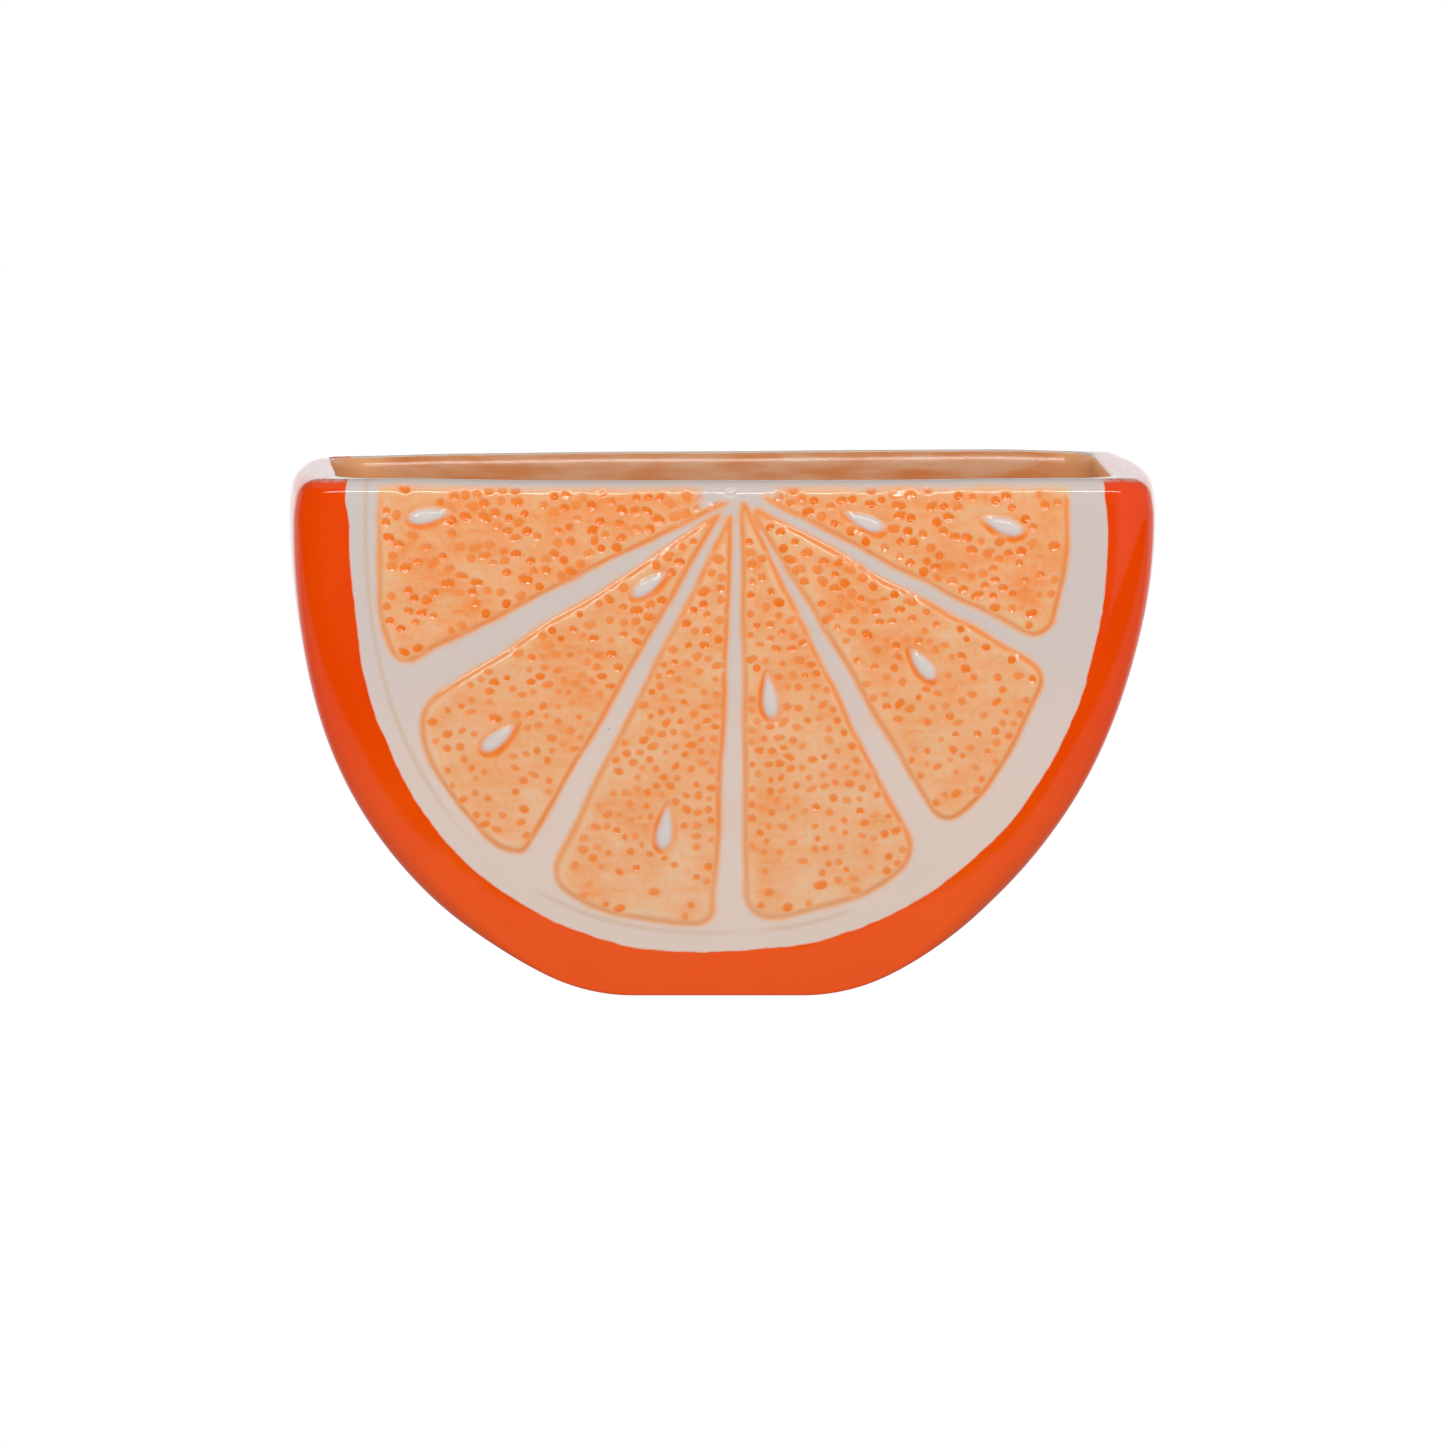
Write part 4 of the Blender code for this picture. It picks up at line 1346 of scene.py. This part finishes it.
def rindDistance(coordinates, x, y, z):
    # the same distance past the rind's inner edge, with the wavering of a brushed edge
    look, power = rindLook, rindEdge["power"]
    down = scaled(z, -1.0 / rindEdge["halfZ"], pot["ellipseZ"] / rindEdge["halfZ"])
    middle = scaled(times(down, down), -rindEdge["drift"], rindEdge["middleX"])
    across = calc("ABSOLUTE", calc("DIVIDE", minus(x, middle), rindEdge["halfX"]))
    total = plus(calc("POWER", across, power), calc("POWER", calc("ABSOLUTE", down), power))
    share = minus(calc("POWER", total, 1.0 / power), 1.0)
    plain = times(share, (rindEdge["halfX"] + rindEdge["halfZ"]) / 2.0)
    backRim = times(ramped(y, *look["backRimY"]), ramped(z, *look["backRimZ"]), look["backRim"])
    top, right = ramped(z, *look["topZ"]), ramped(x, *look["rightX"])
    ends = times(top, scaled(right, *look["top"]))
    flank = times(scaled(right, *look["flank"]), minus(ramped(z, *look["flankZ"]), top))
    return plain, plus(plain, backRim, swing(coordinates, "clouds", look["wobble"]),
                       swing(coordinates, "rindBristles", look["bristles"]), ends, flank)


def rindColour(coordinates, z):
    look = rindLook
    # painted reflection: the rind turns lighter low down as if the pale floor showed in its glaze; the clouds
    # vary its tone
    tone = scaled(pattern(coordinates, "rindClouds"), look["clouds"],
                  times(ramped(z, *look["floorReflectionZ"]), look["floorReflection"]))
    rind = mixed(calc("ADD", tone, look["darker"], clamp=True), "rindDeep", "rindLight")
    normal = coordinates.id_data.nodes.new("ShaderNodeNewGeometry").outputs["Normal"]
    streaks = scaled(ramped(pattern(coordinates, "wipeAndSheenStreaks"), *look["wipeAndSheenStreaks"]), *look["wipeAndSheenTone"])
    # the up-facing tops of the rim's ends whiten in streaks: partly glaze wiped thin, partly a painted
    # reflection of the white backdrop
    wipedAndSheen = times(ramped(apart(normal)["Z"], *look["wipedAndSheenUp"]), ramped(z, *look["wipedAndSheenZ"]), streaks)
    return mixed(wipedAndSheen, rind, "pith")


insideLook = {
    "streaks": (0.3, 0.7),
    "endX": (60.0, 70.0),  # painted light, lighter at the ends of the cavity where little light reaches
    "ragged": 0.5,  # the orange inside starts in a ragged edge, with a cream line along it
    "raggedFrom": (0.0, 0.2),
    "cream": 0.8,
    "creamFrom": (0.02, 0.2),
    "orangeFrom": (0.3, 0.55),
}


def insideLayer(coordinates, surface, inside, x):
    # the thin orange wash inside, over the rest of the surface
    look = insideLook
    wash = mixed(ramped(pattern(coordinates, "insideStreaks"), *look["streaks"]), "insidePale", "insideDeep")
    # painted light: a paler, brighter wash at the cavity's ends
    wash = mixed(ramped(calc("ABSOLUTE", x), *look["endX"]), wash, "insideEndLit")
    ragged = times(swing(coordinates, "insideEdge", look["ragged"]), ramped(inside, *look["raggedFrom"]))
    ragged = plus(inside, ragged)
    surface = mixed(times(ramped(ragged, *look["creamFrom"]), look["cream"]), surface, "cream")
    return mixed(ramped(ragged, *look["orangeFrom"]), surface, wash)


glossLook = {
    "roughness": (0.14, 0.06),  # rougher inside
    "ior": 1.5,
    "peel": (0.25, 0.05),  # the slightest orange peel: strength and depth
}


def glazeMaterial():
    material, shader, coordinates = newMaterial("ceramicGlaze")
    tree = material.node_tree
    x, y, z = (times(part, 1.0 / mm) for part in apart(coordinates))
    plain, past = rindDistance(coordinates, x, y, z)
    surface = mixed(attributeOf(tree, "covered"), pithColour(coordinates, plain, x, z),
                    pulpColour(coordinates, z))
    surface = speckled(coordinates, mixed(attributeOf(tree, "seed"), surface, "seed"))
    surface = mixed(times(ramped(past, *rindLook["blushAt"]), rindLook["blush"]), surface, "blush")
    surface = mixed(ramped(past, *rindLook["edge"]), surface, rindColour(coordinates, z))
    inside = attributeOf(tree, "inside")
    setInputs(shader, {"Base Color": insideLayer(coordinates, surface, inside, x), "IOR": glossLook["ior"],
                       "Roughness": scaled(inside, *glossLook["roughness"]),
                       "Normal": bumped(pattern(coordinates, "orangePeel"), *glossLook["peel"])})
    return material


clayLook = {
    "clouds": 0.6,
    "grain": 0.35,
    "darker": 0.8,
    "roughness": 0.82,
    "bump": (0.4, 0.06),
}


def clayMaterial():
    # the dry foot: fired clay without glaze
    material, shader, coordinates = newMaterial("bareClay")
    grain = pattern(coordinates, "clayGrain")
    tone = scaled(pattern(coordinates, "clayClouds"), clayLook["clouds"], times(grain, clayLook["grain"]))
    darker = (*[clayLook["darker"] * c for c in albedo("clay")[:3]], 1.0)
    setInputs(shader, {"Base Color": mixed(tone, "clay", darker), "Roughness": clayLook["roughness"],
                       "Normal": bumped(grain, *clayLook["bump"])})
    return material


def cavityParts(row):
    # the rim's inner part, the walls and the floor of the cavity
    rings, inside = rimAndCavity(rollLevels()[3][-1] * row[::-1])
    size = len(rings[0])
    walls = (np.concatenate(rings) * mm, gridFaces(len(rings), size, closed=True),
             {"inside": np.repeat(inside, size)})
    outline = [tuple(p) for p in rings[-1][::-1, :2]]
    alongX, alongY = (np.arange(-half, half, mesh["floorStep"]) for half in mesh["floorHalf"])
    flat, faces = triangulated(outline + [(x, y) for x in alongX for y in alongY], [], len(outline))
    places = np.insert(flat, 2, rings[-1][0, 2], axis=1)
    return walls, (places * mm, [tuple(f) for f in faces], {"inside": np.ones(len(flat))})


def buildPlanter():
    glaze, clay = glazeMaterial(), clayMaterial()
    stations = bodyStations()
    trees = (scatterTree(), pressTree())
    frontSeed, backSeed = relief["faceSeeds"]
    front, row = makeFace(1, stations, trees, frontSeed, glaze)
    back, _ = makeFace(-1, stations, trees, backSeed, glaze)
    columns = sideBand(stations)
    band = (columns.reshape(-1, 3) * mm, gridFaces(*columns.shape[:2]), {})
    planter = assemble([readMesh(front), readMesh(back), band, *cavityParts(row)], "planterGlazed")
    planter.data.materials.append(glaze)
    planter.data.materials.append(clay)
    for polygon in planter.data.polygons:
        heights = [planter.data.vertices[i].co.z for i in polygon.vertices]
        polygon.material_index = 1 if max(heights) < pot["bareBelow"] * mm else 0
    settle(planter)
    planter.data.shade_smooth()
    return planter


planter = buildPlanter()
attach(planter, "root")
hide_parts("planter")
print("stage: planter built")

studio = {
    "cameraY": -965.0,
    "cameraZ": 174.9,
    "pitch": 7.64,
    "focal": 5209.0,  # pixels, on an image 1445 wide
    "imageWidth": 1445.0,
    "sensor": 36.0,
    "nearFar": (0.05, 20.0),
    # brightness of the white tent, and the part of each direction over which it starts; of a pair of
    # brightnesses the gloss sees the first, and the colour under it is lit by the second
    "back": 1.0,
    "backY": (-0.02, 0.22),
    "side": (0.12, 1.0),
    "sideY": (-0.3, -0.15),
    "high": (0.25, 0.5),
    "highZ": (0.22, 0.42),
    "top": 0.42,
    "topZ": (0.68, 0.82),
    "right": (0.45, 0.0),  # a soft panel at the right
    "rightX": (0.08, 0.32),
    "front": 0.015,
    # the sheet that the piece stands on, which glows, by less in front of it
    "floorTone": 0.12,
    "floorX": (-1.2, 1.2),
    "floorY": (-0.5, 2.0),
    "floorGlow": (0.66, 0.34),
    "floorGlowY": (-30.0, 70.0),
    "floorFrontY": (-220.0, -150.0),
    "floorSoft": (-0.3, 1.0),  # and by less for the colours that it lights
    "strip": {"place": (-0.05, -0.8, 0.55), "target": (0.0, 0.0, 0.06), "size": (0.9, 0.07), "power": 3.3},
    "fill": {"place": (0.05, -1.7, 0.34), "target": (0.0, 0.0, 0.05), "size": (2.2, 1.4), "power": 34.8},
}


def addCamera():
    data = bpy.data.cameras.new("camera")
    data.sensor_width = studio["sensor"]
    data.lens = studio["focal"] / studio["imageWidth"] * studio["sensor"]
    data.clip_start, data.clip_end = studio["nearFar"]
    camera = linked("camera", data)
    camera.location = (0.0, studio["cameraY"] * mm, studio["cameraZ"] * mm)
    camera.rotation_euler = (math.radians(90.0 - studio["pitch"]), 0.0, 0.0)
    bpy.context.scene.camera = camera


def addSoftbox(name, box):
    data = bpy.data.lights.new(name, "AREA")
    data.shape = "RECTANGLE"
    data.size, data.size_y = box["size"]
    data.energy = box["power"]
    lamp = linked(name, data)
    lamp.location = box["place"]
    lamp.rotation_euler = (Vector(box["target"]) - Vector(box["place"])).to_track_quat("-Z", "Y").to_euler()
    return lamp


def addWorld():
    # a white tent with a dark front, where the camera stands
    world = bpy.data.worlds.new("studioTent")
    bpy.context.scene.world = world
    world.use_nodes = True
    tree = world.node_tree
    x, y, z = apart(tree.nodes.new("ShaderNodeTexCoord").outputs["Generated"])
    path = tree.nodes.new("ShaderNodeLightPath").outputs

    def either(name):
        glossy, matt = studio[name]
        return scaled(path["Is Diffuse Ray"], matt - glossy, glossy)

    back = times(ramped(y, *studio["backY"]), studio["back"])
    sides = times(ramped(y, *studio["sideY"]), either("side"))
    high = times(ramped(z, *studio["highZ"]), minus(1.0, either("high")))
    top = times(ramped(z, *studio["topZ"]), studio["top"])
    right = times(ramped(x, *studio["rightX"]), either("right"))
    strength = greatest(times(greatest(back, sides), minus(1.0, high)), top, right, studio["front"],
                        path["Is Camera Ray"])
    setInputs(tree.nodes["Background"], {"Color": (1.0, 1.0, 1.0, 1.0), "Strength": strength})


def addFloor():
    (left, right), (front, back) = studio["floorX"], studio["floorY"]
    corners = [(left, front, 0.0), (right, front, 0.0), (right, back, 0.0), (left, back, 0.0)]
    floor = newObject("floor", corners, [(0, 1, 2, 3)])
    material, shader, coordinates = newMaterial("floorWhite")
    tree = material.node_tree
    path = tree.nodes.new("ShaderNodeLightPath").outputs
    y = times(apart(coordinates)["Y"], 1.0 / mm)
    sheet = ramped(y, *studio["floorFrontY"])
    tone = times(sheet, studio["floorTone"])
    glow = times(sheet, scaled(ramped(y, *studio["floorGlowY"]), *studio["floorGlow"]),
                 scaled(path["Is Diffuse Ray"], *studio["floorSoft"]))
    pale = addNode(tree, "ShaderNodeCombineXYZ", {"X": tone, "Y": tone, "Z": tone})
    setInputs(shader, {"Base Color": pale.outputs["Vector"], "Roughness": 1.0, "Specular IOR Level": 0.0,
                       "Emission Color": (1.0, 1.0, 1.0, 1.0),
                       "Emission Strength": greatest(glow, path["Is Camera Ray"])})
    floor.data.materials.append(material)


addCamera()
addWorld()
addFloor()
strip = addSoftbox("stripLight", studio["strip"])
strip.visible_diffuse = False  # only its narrow highlight counts
fill = addSoftbox("fillLight", studio["fill"])
fill.visible_glossy = False  # broad light that leaves no mark in the glaze
bpy.context.scene.view_settings.view_transform = "Standard"
bpy.context.scene.view_settings.look = "None"
print("stage: studio ready")
